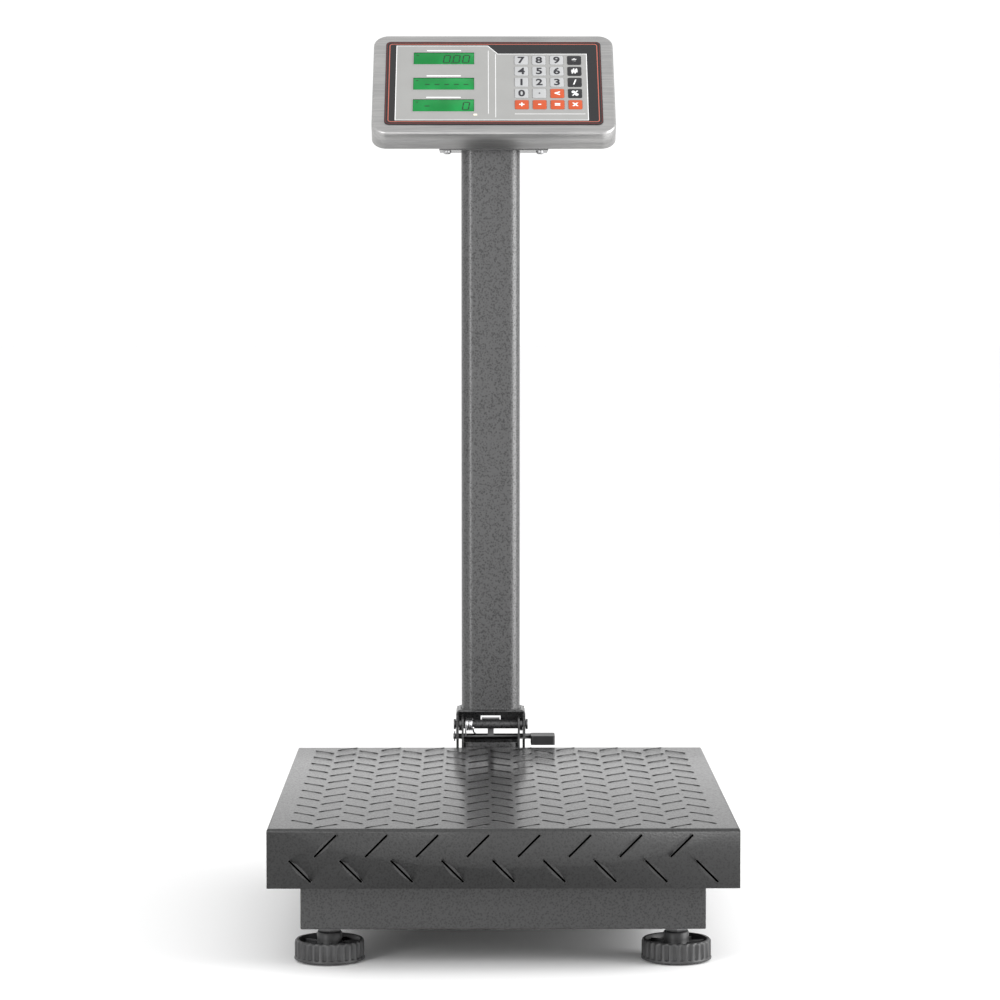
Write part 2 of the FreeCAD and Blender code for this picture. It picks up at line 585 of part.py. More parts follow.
def lock_lever():
    """The rod across the post, the arm that rises behind the barrel and the tongue that holds the bracket."""
    left = "mast_offset - bracket_width / 2 - rod_end"
    grip_x = "mast_offset + grip_start"
    reach = "bracket_width / 2 + rod_end + grip_start + grip_width - grip_overlap"
    spot = ["pivot_y + lock_y", "pivot_z - lock_drop"]
    bar = rod("lock_bar", "lock_radius", reach, [left] + spot, "X")
    nut = rod("push_nut", "push_nut_radius", "push_nut_gauge", [left + " + nut_inset"] + spot, "X")
    # the arm: up from the rod, then a tongue to the rear
    low_x = "mast_offset - tongue_half"
    high_x = "mast_offset + tongue_half"
    upright_arm = block("latch_arm",
                        ["mast_offset - arm_half", "pivot_y + lock_y - arm_gauge", "pivot_z - lock_drop"],
                        ["mast_offset + arm_half", "pivot_y + lock_y", "pivot_z + tongue_low + tongue_gauge"])
    tongue = block("latch_tongue", [low_x, "pivot_y + lock_y - arm_gauge", "pivot_z + tongue_low"],
                   [high_x, "pivot_y + tongue_rear", "pivot_z + tongue_low + tongue_gauge"])
    subpart("lock_rod", fuse("lock_shaft", [bar, nut, upright_arm, tongue]))
    blank = slab("grip_blank", "grip_width", "grip_rear + grip_front", "grip_height", "grip_corner")
    put(blank, [grip_x + " + grip_width / 2", "pivot_y + (grip_rear - grip_front) / 2",
                "pivot_z - lock_drop - grip_drop - grip_height / 2"])
    bore = rod("grip_bore", "lock_radius", "grip_width", [grip_x + " - grip_overlap"] + spot, "X")
    subpart("lever_grip", cut("grip", blank, [bore]))


def lock_spring():
    """The turns of the torsion spring wound on the left end of the barrel."""
    turns = []
    for index in range(int(size("spring_turns"))):
        ring = doc.addObject("Part::Torus", "spring_turn_%d" % index)
        bind(ring, Radius1="spring_radius", Radius2="spring_wire")
        ring.Placement = FreeCAD.Placement(FreeCAD.Vector(), TURNS["X"])
        spot = ["mast_offset - spring_start + %d * spring_pitch" % index, "pivot_y", "pivot_z"]
        turns.append(put(ring, spot))
    subpart("lock_spring", group("torsion_spring", turns))


# ---------------------------------------------------------------- display head

LEAN = math.sin(math.radians(size("tilt")))
RISE = math.cos(math.radians(size("tilt")))


def on_head(thing, at):
    """Place a piece that is drawn in the head's own frame."""
    turn = FreeCAD.Rotation(FreeCAD.Vector(1, 0, 0), size("tilt"))
    thing.Placement = FreeCAD.Placement(FreeCAD.Vector(), turn)
    across, up, out = at
    return put(thing, ["head_offset + (%s)" % across,
                       "head_y + (%s) * %.6f - (%s) * %.6f" % (up, RISE, out, LEAN),
                       "head_z + (%s) * %.6f + (%s) * %.6f" % (up, LEAN, out, RISE)])


KEYS = [
    ["key_7", "key_8", "key_9", "key_price"],
    ["key_4", "key_5", "key_6", "key_store"],
    ["key_1", "key_2", "key_3", "key_change"],
    ["key_0", "key_point", "key_clear", "key_unit"],
    ["key_add", "key_tare", "key_zero", "key_total"],
]
DISPLAYS = ["lcd_weight", "lcd_price", "lcd_total"]


def key_spots():
    for row, names in enumerate(KEYS):
        for column, name in enumerate(names):
            yield name, "key_column + %d * key_pitch" % column, "key_row - %d * row_pitch" % row


def housing():
    outer = slab("cover_outer", "head_width", "head_height", "head_depth", "head_corner")
    soften(outer, "cover_edge", "head_edge",
           lambda edge: abs(edge.BoundBox.ZMin - size("head_depth")) < NEARLY_ZERO)
    inner = slab("cover_inner", "head_width - 2 * head_gauge", "head_height - 2 * head_gauge",
                 "head_depth - head_gauge", "head_corner - head_gauge")
    window = slab("cover_window", "window_width", "window_height", "head_depth + past", "window_corner")
    subpart("housing_cover", on_head(cut("cover", outer, [inner, window]), ["0", "0", "-head_depth"]))
    shell, hollow = wedge()
    panel = slab("back_panel", "head_width - 2 * head_gauge - panel_gap",
                 "head_height - 2 * head_gauge - panel_gap",
                 "wedge_gauge", "head_corner - head_gauge")
    on_head(panel, ["0", "0", "-head_depth"])
    across, up = grown("0", "0")
    rocker_hole = block("rocker_hole", [across[0], "wedge_rear - inlet_cut", up[0]],
                        [across[1], "wedge_rear + past", up[1]])
    socket_hole = rod("socket_hole", "socket_radius", "inlet_cut + past",
                      ["head_offset + socket_x", "wedge_rear - inlet_cut", "rocker_z"], "Y")
    holes = [rod("wedge_screw_hole_%s" % name, "screw_radius", "inlet_cut",
                 ["head_offset + %d * plate_screw" % side, "pivot_y", "mast_top"])
             for name, side in SIDES.items()]
    blank = fuse("back_blank", [shell, panel])
    subpart("housing_back", cut("back_shell", blank, [hollow, rocker_hole, socket_hole] + holes))


def cover_back(at):
    """The height of the plane of the cover's back over one y."""
    back = "(head_z - head_depth * %.6f + (%s - head_y - head_depth * %.6f) * %.6f)"
    return back % (RISE, at, LEAN, LEAN / RISE)


def wedge():
    """The wedge that fills the space between the tilted head and the level plate, and its hollow."""
    floor = "mast_top + plate_gauge"
    inside = floor + " + wedge_gauge"
    front = "wedge_front + wedge_wall"
    rear = "wedge_rear - wedge_gauge"
    shell = extrusion("wedge_shell", "YZ_Plane",
                      [("wedge_front", floor), ("wedge_rear", floor),
                       ("wedge_rear", cover_back("wedge_rear")),
                       ("wedge_front", cover_back("wedge_front") + " + wedge_rise")], "wedge_width", True)
    hollow = extrusion("wedge_hollow", "YZ_Plane",
                       [(front, inside), (rear, inside), (rear, cover_back("wedge_rear") + " + wedge_open"),
                        (front, cover_back("wedge_front") + " + wedge_open")],
                       "wedge_width - 2 * wedge_gauge", True)
    return [put(piece, ["head_offset", "0", "0"]) for piece in (shell, hollow)]


def face_parts():
    film = slab("film", "overlay_width", "overlay_height", "overlay_gauge", "overlay_corner")
    openings = []
    for name, across, up in key_spots():
        hole = slab(name + "_opening", "key_size + 2 * key_gap", "key_size + 2 * key_gap",
                    "overlay_gauge + 2 * past", "key_corner + key_gap")
        openings.append(put(hole, [across, up, "-past"]))
    for name in DISPLAYS:
        pane = slab(name + "_opening", "lcd_width + 2 * lcd_gap", "lcd_height + 2 * lcd_gap",
                    "overlay_gauge + 2 * past", "lcd_corner + lcd_gap")
        openings.append(put(pane, ["lcd_across", name, "-past"]))
    subpart("keypad_overlay", on_head(cut("overlay", film, openings), ["0", "0", "0"]))
    for name, across, up in key_spots():
        cap = slab(name + "_cap", "key_size", "key_size", "key_high - key_low", "key_corner")
        subpart(name, on_head(cap, [across, up, "key_low"]))
    panes = []
    for name in DISPLAYS:
        glass = slab(name + "_glass", "lcd_width", "lcd_height",
                     "overlay_gauge - lcd_sink - board_low - board_gauge", "lcd_corner")
        panes.append(put(glass, ["lcd_across", name, "board_low + board_gauge"]))
    subpart("lcd_glasses", on_head(group("panes", panes), ["0", "0", "0"]))
    board = slab("board", "board_width", "board_height", "board_gauge", "board_corner")
    subpart("circuit_board", on_head(board, ["0", "0", "board_low"]))


def head_mount():
    plate = block("plate", ["head_offset - plate_width / 2", "plate_front", "mast_top"],
                  ["head_offset + plate_width / 2", "plate_rear", "mast_top + plate_gauge"])
    screws, holes = [], []
    for name, side in SIDES.items():
        spot = ["head_offset + %d * plate_screw" % side, "pivot_y"]
        holes.append(rod("plate_hole_" + name, "screw_radius", "plate_gauge", spot + ["mast_top"]))
        shank = rod("screw_shank_" + name, "screw_radius", "screw_reach", spot + ["mast_top"])
        head = rod("screw_head_" + name, "screw_head", "screw_head_height",
                   spot + ["mast_top - screw_head_height"])
        screws.append(fuse("screw_" + name, [shank, head]))
    subpart("mount_plate", cut("top_plate", plate, holes))
    subpart("mount_screws", group("screws", screws))


def battery():
    floor = "mast_top + plate_gauge + wedge_gauge"
    rear = "wedge_rear - wedge_gauge - battery_gap"
    pack = block("cell_pack", ["head_offset - battery_width / 2", rear + " - battery_depth", floor],
                 ["head_offset + battery_width / 2", rear, floor + " + battery_height"])
    subpart("battery", pack)


def grown(sides, ends):
    """The low and high x and z of the rocker's opening, each side moved out by a formula."""
    middle_x = "head_offset + rocker_x"
    return ([middle_x + " - rocker_width / 2 - (%s)" % sides,
             middle_x + " + rocker_width / 2 + (%s)" % sides],
            ["rocker_z - rocker_height / 2 - (%s)" % ends, "rocker_z + rocker_height / 2 + (%s)" % ends])


def power_inlets():
    """The rocker's case behind its rim, and the charging socket beside it."""
    across, up = grown("rocker_rim", "rocker_rim")
    rim = block("rocker_frame", [across[0], "wedge_rear", up[0]],
                [across[1], "wedge_rear + rocker_rim_gauge", up[1]])
    across, up = grown("0", "0")
    case = block("rocker_case", [across[0], "wedge_rear - rocker_depth", up[0]],
                 [across[1], "wedge_rear", up[1]])
    across, up = grown("-rocker_wall", "-rocker_floor")
    well = block("rocker_well", [across[0], "wedge_rear - rocker_depth + rocker_floor", up[0]],
                 [across[1], "wedge_rear + rocker_rim_gauge + past", up[1]])
    mouth = "wedge_rear + socket_proud"
    spot = "head_offset + socket_x"
    collar = rod("socket_body", "socket_radius", "socket_depth",
                 [spot, mouth + " - socket_depth", "rocker_z"], "Y")
    bore = rod("socket_mouth", "socket_bore", "socket_depth - socket_floor",
               [spot, mouth + " - socket_depth + socket_floor", "rocker_z"], "Y")
    contact = rod("socket_contact", "socket_pin", "socket_depth - socket_pin_short",
                  [spot, mouth + " - socket_depth + past", "rocker_z"], "Y")
    socket = fuse("socket", [cut("socket_shell", collar, [bore]), contact])
    switch = cut("rocker_case_open", fuse("rocker_case_blank", [rim, case]), [well])
    subpart("power_inlets", group("inlets", [switch, socket]))


def power_rocker():
    """The rocker's cap, leaning to its off side about a pin across its case."""
    tip = extrusion("rocker_cap", "XZ_Plane",
                    rectangle("rocker_width - rocker_side_gap", "rocker_height - rocker_end_gap"),
                    "rocker_proud + rocker_sink")
    lean = math.radians(size("rocker_lean"))
    turn = FreeCAD.Rotation(FreeCAD.Vector(1, 0, 0), -size("rocker_lean"))
    tip.Placement = FreeCAD.Placement(FreeCAD.Vector(), turn)
    put(tip, ["head_offset + rocker_x",
              "wedge_rear - rocker_pivot + (rocker_proud + rocker_pivot) * %.6f" % math.cos(lean),
              "rocker_z - (rocker_proud + rocker_pivot) * %.6f" % math.sin(lean)])
    subpart("power_rocker", tip)


base_rails()
platform_pan()
foot_nuts()
feet()
load_cell()
weigh_frame()
weigh_pads_and_stops()
cell_fasteners()
hinge_post()
hinge_pin()
pole_bracket()
subpart("pole_tube", rounded_tube("mast", "pivot_z + bracket_top", "mast_top"))
lock_lever()
lock_spring()
housing()
face_parts()
head_mount()
battery()
power_inlets()
power_rocker()
doc.recompute()

for thing in doc.Objects:
    if "Invalid" in thing.State or "Error" in thing.State:
        raise RuntimeError("%s did not build: %s" % (thing.Name, thing.State))
os.makedirs("parts", exist_ok=True)
for thing in subparts:
    if thing.Shape.isNull() or not thing.Shape.isValid():
        raise RuntimeError("%s has no valid shape" % thing.Label)
    thing.Shape.exportStep("parts/%s.step" % thing.Label)
    print("%s: %d solid(s), %.0f mm3" % (thing.Label, len(thing.Shape.Solids), thing.Shape.Volume))
print(len(subparts), "sub-parts")
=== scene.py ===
import json
import math

import bmesh
import bpy
from mathutils import Matrix, Vector


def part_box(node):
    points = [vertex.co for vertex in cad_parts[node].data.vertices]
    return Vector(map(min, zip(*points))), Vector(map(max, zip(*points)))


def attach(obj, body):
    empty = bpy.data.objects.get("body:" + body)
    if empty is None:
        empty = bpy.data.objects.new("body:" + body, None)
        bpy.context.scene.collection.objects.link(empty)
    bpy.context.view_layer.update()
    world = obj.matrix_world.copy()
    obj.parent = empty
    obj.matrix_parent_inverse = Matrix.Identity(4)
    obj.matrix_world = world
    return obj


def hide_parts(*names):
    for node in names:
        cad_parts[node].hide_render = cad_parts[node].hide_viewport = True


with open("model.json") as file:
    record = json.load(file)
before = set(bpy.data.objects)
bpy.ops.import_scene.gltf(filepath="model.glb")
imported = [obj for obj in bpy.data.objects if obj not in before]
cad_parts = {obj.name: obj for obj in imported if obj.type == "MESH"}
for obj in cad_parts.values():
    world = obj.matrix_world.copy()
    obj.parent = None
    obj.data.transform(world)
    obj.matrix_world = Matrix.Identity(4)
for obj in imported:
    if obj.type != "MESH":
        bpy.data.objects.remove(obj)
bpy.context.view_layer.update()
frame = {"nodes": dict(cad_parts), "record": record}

# Looks of a folding bench scale, in metres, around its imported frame.
# +Z up, -Y the user's side, +X the user's right.

MM = 0.001
X, Y, Z = Vector((1, 0, 0)), Vector((0, 1, 0)), Vector((0, 0, 1))


def middle(node):
    low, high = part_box(node)
    return (Vector(low) + Vector(high)) / 2


def low_of(node):
    return Vector(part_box(node)[0])


def high_of(node):
    return Vector(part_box(node)[1])


# ------------------------------------------------------------------ camera, floor and light

CAMERA_PLACE = (-0.0203, -3.1018, 0.5810)
CAMERA_PITCH, CAMERA_YAW = 3.648, 0.355
CAMERA_LENS, SENSOR = 120.41, 36


def make_camera():
    data = bpy.data.cameras.new("camera")
    data.lens, data.sensor_width = CAMERA_LENS, SENSOR
    camera = bpy.data.objects.new("camera", data)
    camera.location = CAMERA_PLACE
    camera.rotation_euler = (math.radians(90 - CAMERA_PITCH), 0, math.radians(-CAMERA_YAW))
    bpy.context.scene.collection.objects.link(camera)
    bpy.context.scene.camera = camera


def soft_light(name, place, aim, size, watts):
    data = bpy.data.lights.new(name, "AREA")
    data.shape, data.size, data.size_y, data.energy = "RECTANGLE", size[0], size[1], watts
    light = bpy.data.objects.new(name, data)
    light.location = place
    light.rotation_euler = (Vector(aim) - Vector(place)).to_track_quat("-Z", "Y").to_euler()
    bpy.context.scene.collection.objects.link(light)


def make_studio():
    mesh = bpy.data.meshes.new("studio_floor")
    shape = bmesh.new()
    bmesh.ops.create_grid(shape, x_segments=2, y_segments=2, size=30)
    shape.to_mesh(mesh)
    shape.free()
    floor = bpy.data.objects.new("studio_floor", mesh)
    bpy.context.scene.collection.objects.link(floor)
    paint = bpy.data.materials.new("studio_white")
    paint.use_nodes = True
    shader = paint.node_tree.nodes["Principled BSDF"]
    shader.inputs["Base Color"].default_value = (0.93, 0.93, 0.93, 1)
    shader.inputs["Roughness"].default_value = 0.9
    mesh.materials.append(paint)
    world = bpy.data.worlds.new("studio")
    world.use_nodes = True
    world.node_tree.nodes["Background"].inputs["Color"].default_value = (1, 1, 1, 1)
    world.node_tree.nodes["Background"].inputs["Strength"].default_value = 1.08
    bpy.context.scene.world = world
    bpy.context.scene.view_settings.view_transform = "Standard"
    soft_light("left_bank", (-1.2, -1.9, 0.75), (0, 0.2, 0.5), (0.45, 1.7), 22)
    soft_light("right_bank", (1.75, -0.5, 0.75), (0, 0.2, 0.5), (1.3, 1.7), 46)


# ------------------------------------------------------------------ finishes


def plug(tree, socket, item):
    if isinstance(item, Value):
        tree.links.new(item.socket, socket)
    elif isinstance(item, bpy.types.NodeSocket):
        tree.links.new(item, socket)
    else:
        socket.default_value = item


class Value:
    """A number that varies over a surface, with arithmetic."""

    def __init__(self, tree, socket):
        self.tree, self.socket = tree, socket

    def math(self, operation, *items):
        node = self.tree.nodes.new("ShaderNodeMath")
        node.operation = operation
        for socket, item in zip(node.inputs, items):
            plug(self.tree, socket, item)
        return Value(self.tree, node.outputs[0])

    def __add__(self, other):
        return self.math("ADD", self, other)

    def __sub__(self, other):
        return self.math("SUBTRACT", self, other)

    def __rsub__(self, other):
        return self.math("SUBTRACT", other, self)

    def __mul__(self, other):
        return self.math("MULTIPLY", self, other)

    __radd__ = __add__
    __rmul__ = __mul__

    def span(self, low, high):
        """0 below low, 1 above high and a smooth rise between; high may be the smaller."""
        node = self.tree.nodes.new("ShaderNodeMapRange")
        node.interpolation_type = "SMOOTHSTEP"
        for socket, item in zip(node.inputs, (self, low, high, 0.0, 1.0)):
            plug(self.tree, socket, item)
        return Value(self.tree, node.outputs[0])


class Finish:
    """A procedural finish for one kind of surface."""

    def __init__(self, name, **fixed):
        self.material = bpy.data.materials.new(name)
        self.material.use_nodes = True
        self.tree = self.material.node_tree
        self.shader = self.tree.nodes["Principled BSDF"]
        for label, item in fixed.items():
            self.shader.inputs[label.replace("_", " ")].default_value = item

    def node(self, kind, settings=None, **inputs):
        node = self.tree.nodes.new("ShaderNode" + kind)
        for label, item in (settings or {}).items():
            if label == "stops":
                ramp = node.color_ramp
                while len(ramp.elements) < len(item):
                    ramp.elements.new(0.5)
                for element, (place, shade) in zip(ramp.elements, item):
                    element.position, element.color = place, shade
            else:
                setattr(node, label, item)
        for label, item in inputs.items():
            plug(self.tree, node.inputs[label.replace("_", " ")], item)
        return node

    def place(self, scale=(1, 1, 1)):
        """Where a point is on the object, in metres, stretched."""
        where = self.node("TexCoord").outputs["Object"]
        return self.node("Mapping", None, Vector=where, Scale=scale).outputs[0]

    def noise(self, size, detail=2.0, roughness=0.5, scale=(1, 1, 1)):
        """Cloudy noise whose features are about one size across, in metres."""
        node = self.node("TexNoise", None, Vector=self.place(scale), Scale=1 / size, Detail=detail,
                         Roughness=roughness)
        return Value(self.tree, node.outputs["Fac"])

    def cells(self, size):
        """Distance from the middles of scattered cells one size across."""
        node = self.node("TexVoronoi", {"feature": "F1"}, Vector=self.place(), Scale=1 / size)
        return Value(self.tree, node.outputs["Distance"])

    def mix(self, amount, dark, light):
        node = self.node("Mix", {"data_type": "RGBA"})
        plug(self.tree, node.inputs[0], amount)
        plug(self.tree, node.inputs[6], dark)
        plug(self.tree, node.inputs[7], light)
        return node.outputs[2]

    def set(self, label, item):
        plug(self.tree, self.shader.inputs[label], item)
        return self

    def bump(self, height, depth, strength=1.0):
        node = self.node("Bump", None, Height=height, Distance=depth, Strength=strength)
        return self.set("Normal", node.outputs[0])


def grey(shade):
    return (shade, shade, shade * 1.015, 1)


def hammered_enamel(name, shade, coat, coat_roughness):
    """Hammer-finish enamel: small pooled dimples with darker rims under a clear gloss."""
    finish = Finish(name, Metallic=0.25, Coat_Roughness=coat_roughness, Coat_Weight=coat)
    pools = finish.noise(2.0 * MM, 2.5, 0.6)
    rims = finish.cells(1.9 * MM)
    drift = finish.noise(60 * MM, 2.0)
    hammer = pools * 0.6 + rims * 0.4
    tone = (hammer.span(0.3, 0.58) * 0.8 + drift * 0.2).span(0.1, 0.95)
    finish.set("Base Color", finish.mix(tone, grey(shade * 0.45), grey(shade * 1.7)))
    finish.set("Roughness", 0.5 - tone * 0.12)
    return finish.bump(hammer, 0.4 * MM, 1.0).material


def zinc(name, shade=0.42):
    finish = Finish(name, Metallic=1.0)
    cloud = finish.noise(3 * MM, 4.0)
    lines = finish.noise(0.5 * MM, 2.0, 0.5, (0.06, 1, 1))
    finish.set("Base Color", finish.mix(cloud, grey(shade * 0.72), grey(shade * 1.2)))
    finish.set("Roughness", 0.26 + cloud * 0.2)
    return finish.bump(lines, 0.02 * MM, 0.4).material


def brushed_stainless(name):
    """Stainless sheet brushed along its width."""
    finish = Finish(name, Metallic=1.0)
    fine = finish.noise(0.35 * MM, 3.0, 0.6, (0.012, 1, 1))
    broad = finish.noise(2.4 * MM, 2.0, 0.5, (0.02, 1, 1))
    cloud = finish.noise(60 * MM, 2.0)
    streaks = fine * 0.65 + broad * 0.35
    tone = (streaks + cloud * 0.25).span(0.3, 0.95)
    finish.set("Base Color", finish.mix(tone, grey(0.26), (0.54, 0.535, 0.525, 1)))
    finish.set("Roughness", 0.34 + streaks * 0.2)
    return finish.bump(streaks, 0.02 * MM, 0.55).material


def moulded(name, shade, rough, dust=0.0, grain=0.35):
    """Moulded plastic, vinyl or rubber with a fine spark grain."""
    finish = Finish(name)
    speck = finish.noise(grain * MM, 2.0)
    cloud = finish.noise(18 * MM, 4.0, 0.6)
    dark = (shade[0] * 0.8, shade[1] * 0.8, shade[2] * 0.8, 1)
    light = (shade[0] * 1.2 + dust, shade[1] * 1.2 + dust, shade[2] * 1.2 + dust, 1)
    finish.set("Base Color", finish.mix((cloud * 0.8 + speck * 0.3).span(0.3, 0.85), dark, light))
    finish.set("Roughness", rough - 0.06 + cloud * 0.12)
    return finish.bump(speck, 0.03 * MM, 0.5).material


def printed(name, shade, rough=0.34):
    """Screen print on film: an even colour with a faint orange-peel."""
    finish = Finish(name, Specular_IOR_Level=0.35)
    peel = finish.noise(0.9 * MM, 2.0)
    cloud = finish.noise(25 * MM, 2.0)
    light = (min(shade[0] * 1.05, 1), min(shade[1] * 1.05, 1), min(shade[2] * 1.05, 1), 1)
    dark = (shade[0] * 0.93, shade[1] * 0.93, shade[2] * 0.93, 1)
    finish.set("Base Color", finish.mix(cloud, dark, light)).set("Roughness", rough + cloud * 0.06)
    return finish.bump(peel, 0.01 * MM, 0.35).material


def lit_glass(name):
    """Backlit green display glass, its light a little uneven."""
    finish = Finish(name, Roughness=0.16, Emission_Strength=0.3, Specular_IOR_Level=0.25)
    wash = finish.noise(26 * MM, 1.0, 0.4, (1, 0.6, 0.6))
    grain = finish.noise(0.5 * MM, 1.0)
    level = (wash * 0.85 + grain * 0.12).span(0.28, 0.72)
    colour = finish.mix(level, (0.001, 0.14, 0.026, 1), (0.008, 0.23, 0.052, 1))
    return finish.set("Base Color", colour).set("Emission Color", colour).material


def circuit_green(name):
    finish = Finish(name, Roughness=0.35)
    tracks = finish.noise(2.0 * MM, 0.0, 0.5, (1, 0.1, 1)).span(0.48, 0.52)
    lacquer, copper = (0.01, 0.10, 0.03, 1), (0.03, 0.2, 0.07, 1)
    return finish.set("Base Color", finish.mix(tracks, lacquer, copper)).material


PAINTS = {}


def mix_paints():
    PAINTS.update({
        "pan": hammered_enamel("hammered_enamel_pan", 0.010, 0.55, 0.16),
        "frame": hammered_enamel("hammered_enamel_frame", 0.018, 0.35, 0.3),
        "mast": hammered_enamel("hammered_enamel_mast", 0.036, 0.55, 0.24),
        "zinc": zinc("zinc_plate"),
        "dark_zinc": zinc("dark_zinc", 0.16),
        "spring": zinc("spring_wire", 0.7),
        "stainless": brushed_stainless("brushed_stainless"),
        "aluminium": zinc("milled_aluminium", 0.75),
        "vinyl": moulded("dipped_vinyl", (0.012, 0.012, 0.013), 0.42),
        "wheel": moulded("foot_wheel_plastic", (0.03, 0.03, 0.031), 0.46, dust=0.012, grain=0.6),
        "rubber": moulded("foot_rubber", (0.02, 0.02, 0.02), 0.75, dust=0.01),
        "switch": moulded("switch_plastic", (0.015, 0.015, 0.016), 0.3),
        "battery": moulded("battery_case", (0.04, 0.04, 0.045), 0.4),
        "powder": moulded("head_powder_coat", (0.075, 0.075, 0.078), 0.5, grain=0.9),
        "film": printed("film_black", (0.012, 0.012, 0.013)),
        "panel": printed("film_grey", (0.31, 0.31, 0.303)),
        "salmon": printed("film_salmon", (0.50, 0.13, 0.09)),
        "maroon": printed("film_dark_red", (0.16, 0.022, 0.02)),
        "chalk": printed("film_white", (0.86, 0.86, 0.86)),
        "white_key": printed("key_white", (0.42, 0.425, 0.43), 0.28),
        "orange_key": printed("key_orange", (0.50, 0.078, 0.022), 0.28),
        "black_key": printed("key_black", (0.018, 0.018, 0.02), 0.28),
        "ink": printed("key_ink", (0.02, 0.02, 0.025), 0.3),
        "glass": lit_glass("display_glass"),
        "segment": printed("display_segment", (0.004, 0.03, 0.01), 0.3),
        "board": circuit_green("circuit_green"),
        "lamp": printed("indicator_lamp", (0.75, 0.72, 0.6), 0.3),
    })


# ------------------------------------------------------------------ mesh helpers


def finish_piece(shape, name, body, paint, stands_for=(), smooth=35):
    """Turn a bmesh into a piece that rides on a body."""
    mesh = bpy.data.meshes.new(name)
    shape.to_mesh(mesh)
    shape.free()
    for item in paint if isinstance(paint, (list, tuple)) else [paint]:
        mesh.materials.append(PAINTS[item])
    if smooth:
        mesh.shade_smooth()
        mesh.set_sharp_from_angle(angle=math.radians(smooth))
    else:
        mesh.shade_flat()
    piece = bpy.data.objects.new(name, mesh)
    bpy.context.scene.collection.objects.link(piece)
    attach(piece, body)
    if stands_for:
        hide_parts(*stands_for)
    return piece


def bevel(shape, edges, width, segments=3):
    bmesh.ops.bevel(shape, geom=list(edges), offset=width, offset_type="OFFSET", segments=segments,
                    profile=0.5, affect="EDGES", material=-1, clamp_overlap=True)


def box_shape(size, at, rounding=0.0, segments=2):
    shape = bmesh.new()
    bmesh.ops.create_cube(shape, size=1)
    bmesh.ops.scale(shape, vec=size, verts=shape.verts)
    if rounding:
        bevel(shape, shape.edges, rounding, segments)
    bmesh.ops.translate(shape, vec=at, verts=shape.verts)
    return shape


def rounded_outline(shape, width, height, corner, segments=10):
    """A flat face: a rectangle with rounded corners, centred, facing +Z."""
    bmesh.ops.create_grid(shape, x_segments=1, y_segments=1, size=0.5)
    bmesh.ops.scale(shape, vec=(width, height, 1), verts=shape.verts)
    bmesh.ops.bevel(shape, geom=list(shape.verts), offset=corner, offset_type="OFFSET", segments=segments,
                    profile=0.5, affect="VERTICES", material=-1, clamp_overlap=True)
    return shape


def raise_faces(shape, faces, vec):
    """Extrude faces by a vector and return the moved faces."""
    made = bmesh.ops.extrude_face_region(shape, geom=list(faces))["geom"]
    moved = [item for item in made if isinstance(item, bmesh.types.BMVert)]
    bmesh.ops.translate(shape, vec=vec, verts=moved)
    return [item for item in made if isinstance(item, bmesh.types.BMFace)]


def plate_shape(width, height, thickness, corner, rounding=0.0, segments=10, edge_segments=2):
    """A plate with rounded corners rising from z = 0, its top edge softened."""
    shape = rounded_outline(bmesh.new(), width, height, corner, segments)
    top = raise_faces(shape, shape.faces[:], (0, 0, thickness))
    bmesh.ops.recalc_face_normals(shape, faces=shape.faces)
    if rounding:
        edges = {edge for face in top for edge in face.edges}
        bevel(shape, edges, rounding, edge_segments)
    return shape


def spun(profile, steps, centre=(0, 0, 0)):
    """A closed ring turned from (radius, height) points about +Z."""
    shape = bmesh.new()
    verts = [shape.verts.new((radius, 0, height)) for radius, height in profile]
    edges = [shape.edges.new(pair) for pair in zip(verts, verts[1:])]
    bmesh.ops.spin(shape, geom=verts + edges, cent=(0, 0, 0), axis=(0, 0, 1), dvec=(0, 0, 0),
                   angle=math.tau, steps=steps, use_merge=True)
    bmesh.ops.remove_doubles(shape, verts=shape.verts, dist=1e-7)
    bmesh.ops.recalc_face_normals(shape, faces=shape.faces)
    bmesh.ops.translate(shape, vec=centre, verts=shape.verts)
    return shape


def join_shapes(shapes):
    """One bmesh that holds several."""
    whole = bmesh.new()
    for shape in shapes:
        mesh = bpy.data.meshes.new("part_of_piece")
        shape.to_mesh(mesh)
        shape.free()
        whole.from_mesh(mesh)
        bpy.data.meshes.remove(mesh)
    return whole


def cad_shape(node):
    """A merged copy of a CAD node's mesh, its flat faces joined up."""
    shape = bmesh.new()
    shape.from_mesh(frame["nodes"][node].data)
    bmesh.ops.remove_doubles(shape, verts=shape.verts, dist=1e-6)
    bmesh.ops.dissolve_limit(shape, angle_limit=math.radians(1.0), verts=shape.verts, edges=shape.edges)
    return shape


def eased(node, width, body, paint, segments=2, angle=35):
    """A CAD node's own shape with its sharp edges eased."""
    shape = cad_shape(node)
    piece = finish_piece(shape, node + "_eased", body, paint, [node], smooth=0)
    ease = piece.modifiers.new("eased_edges", "BEVEL")
    ease.width, ease.segments, ease.limit_method = width, segments, "ANGLE"
    ease.angle_limit, ease.harden_normals = math.radians(angle), False
    ease.use_clamp_overlap = True
    piece.data.shade_smooth()
    piece.data.set_sharp_from_angle(angle=math.radians(50))
    return piece


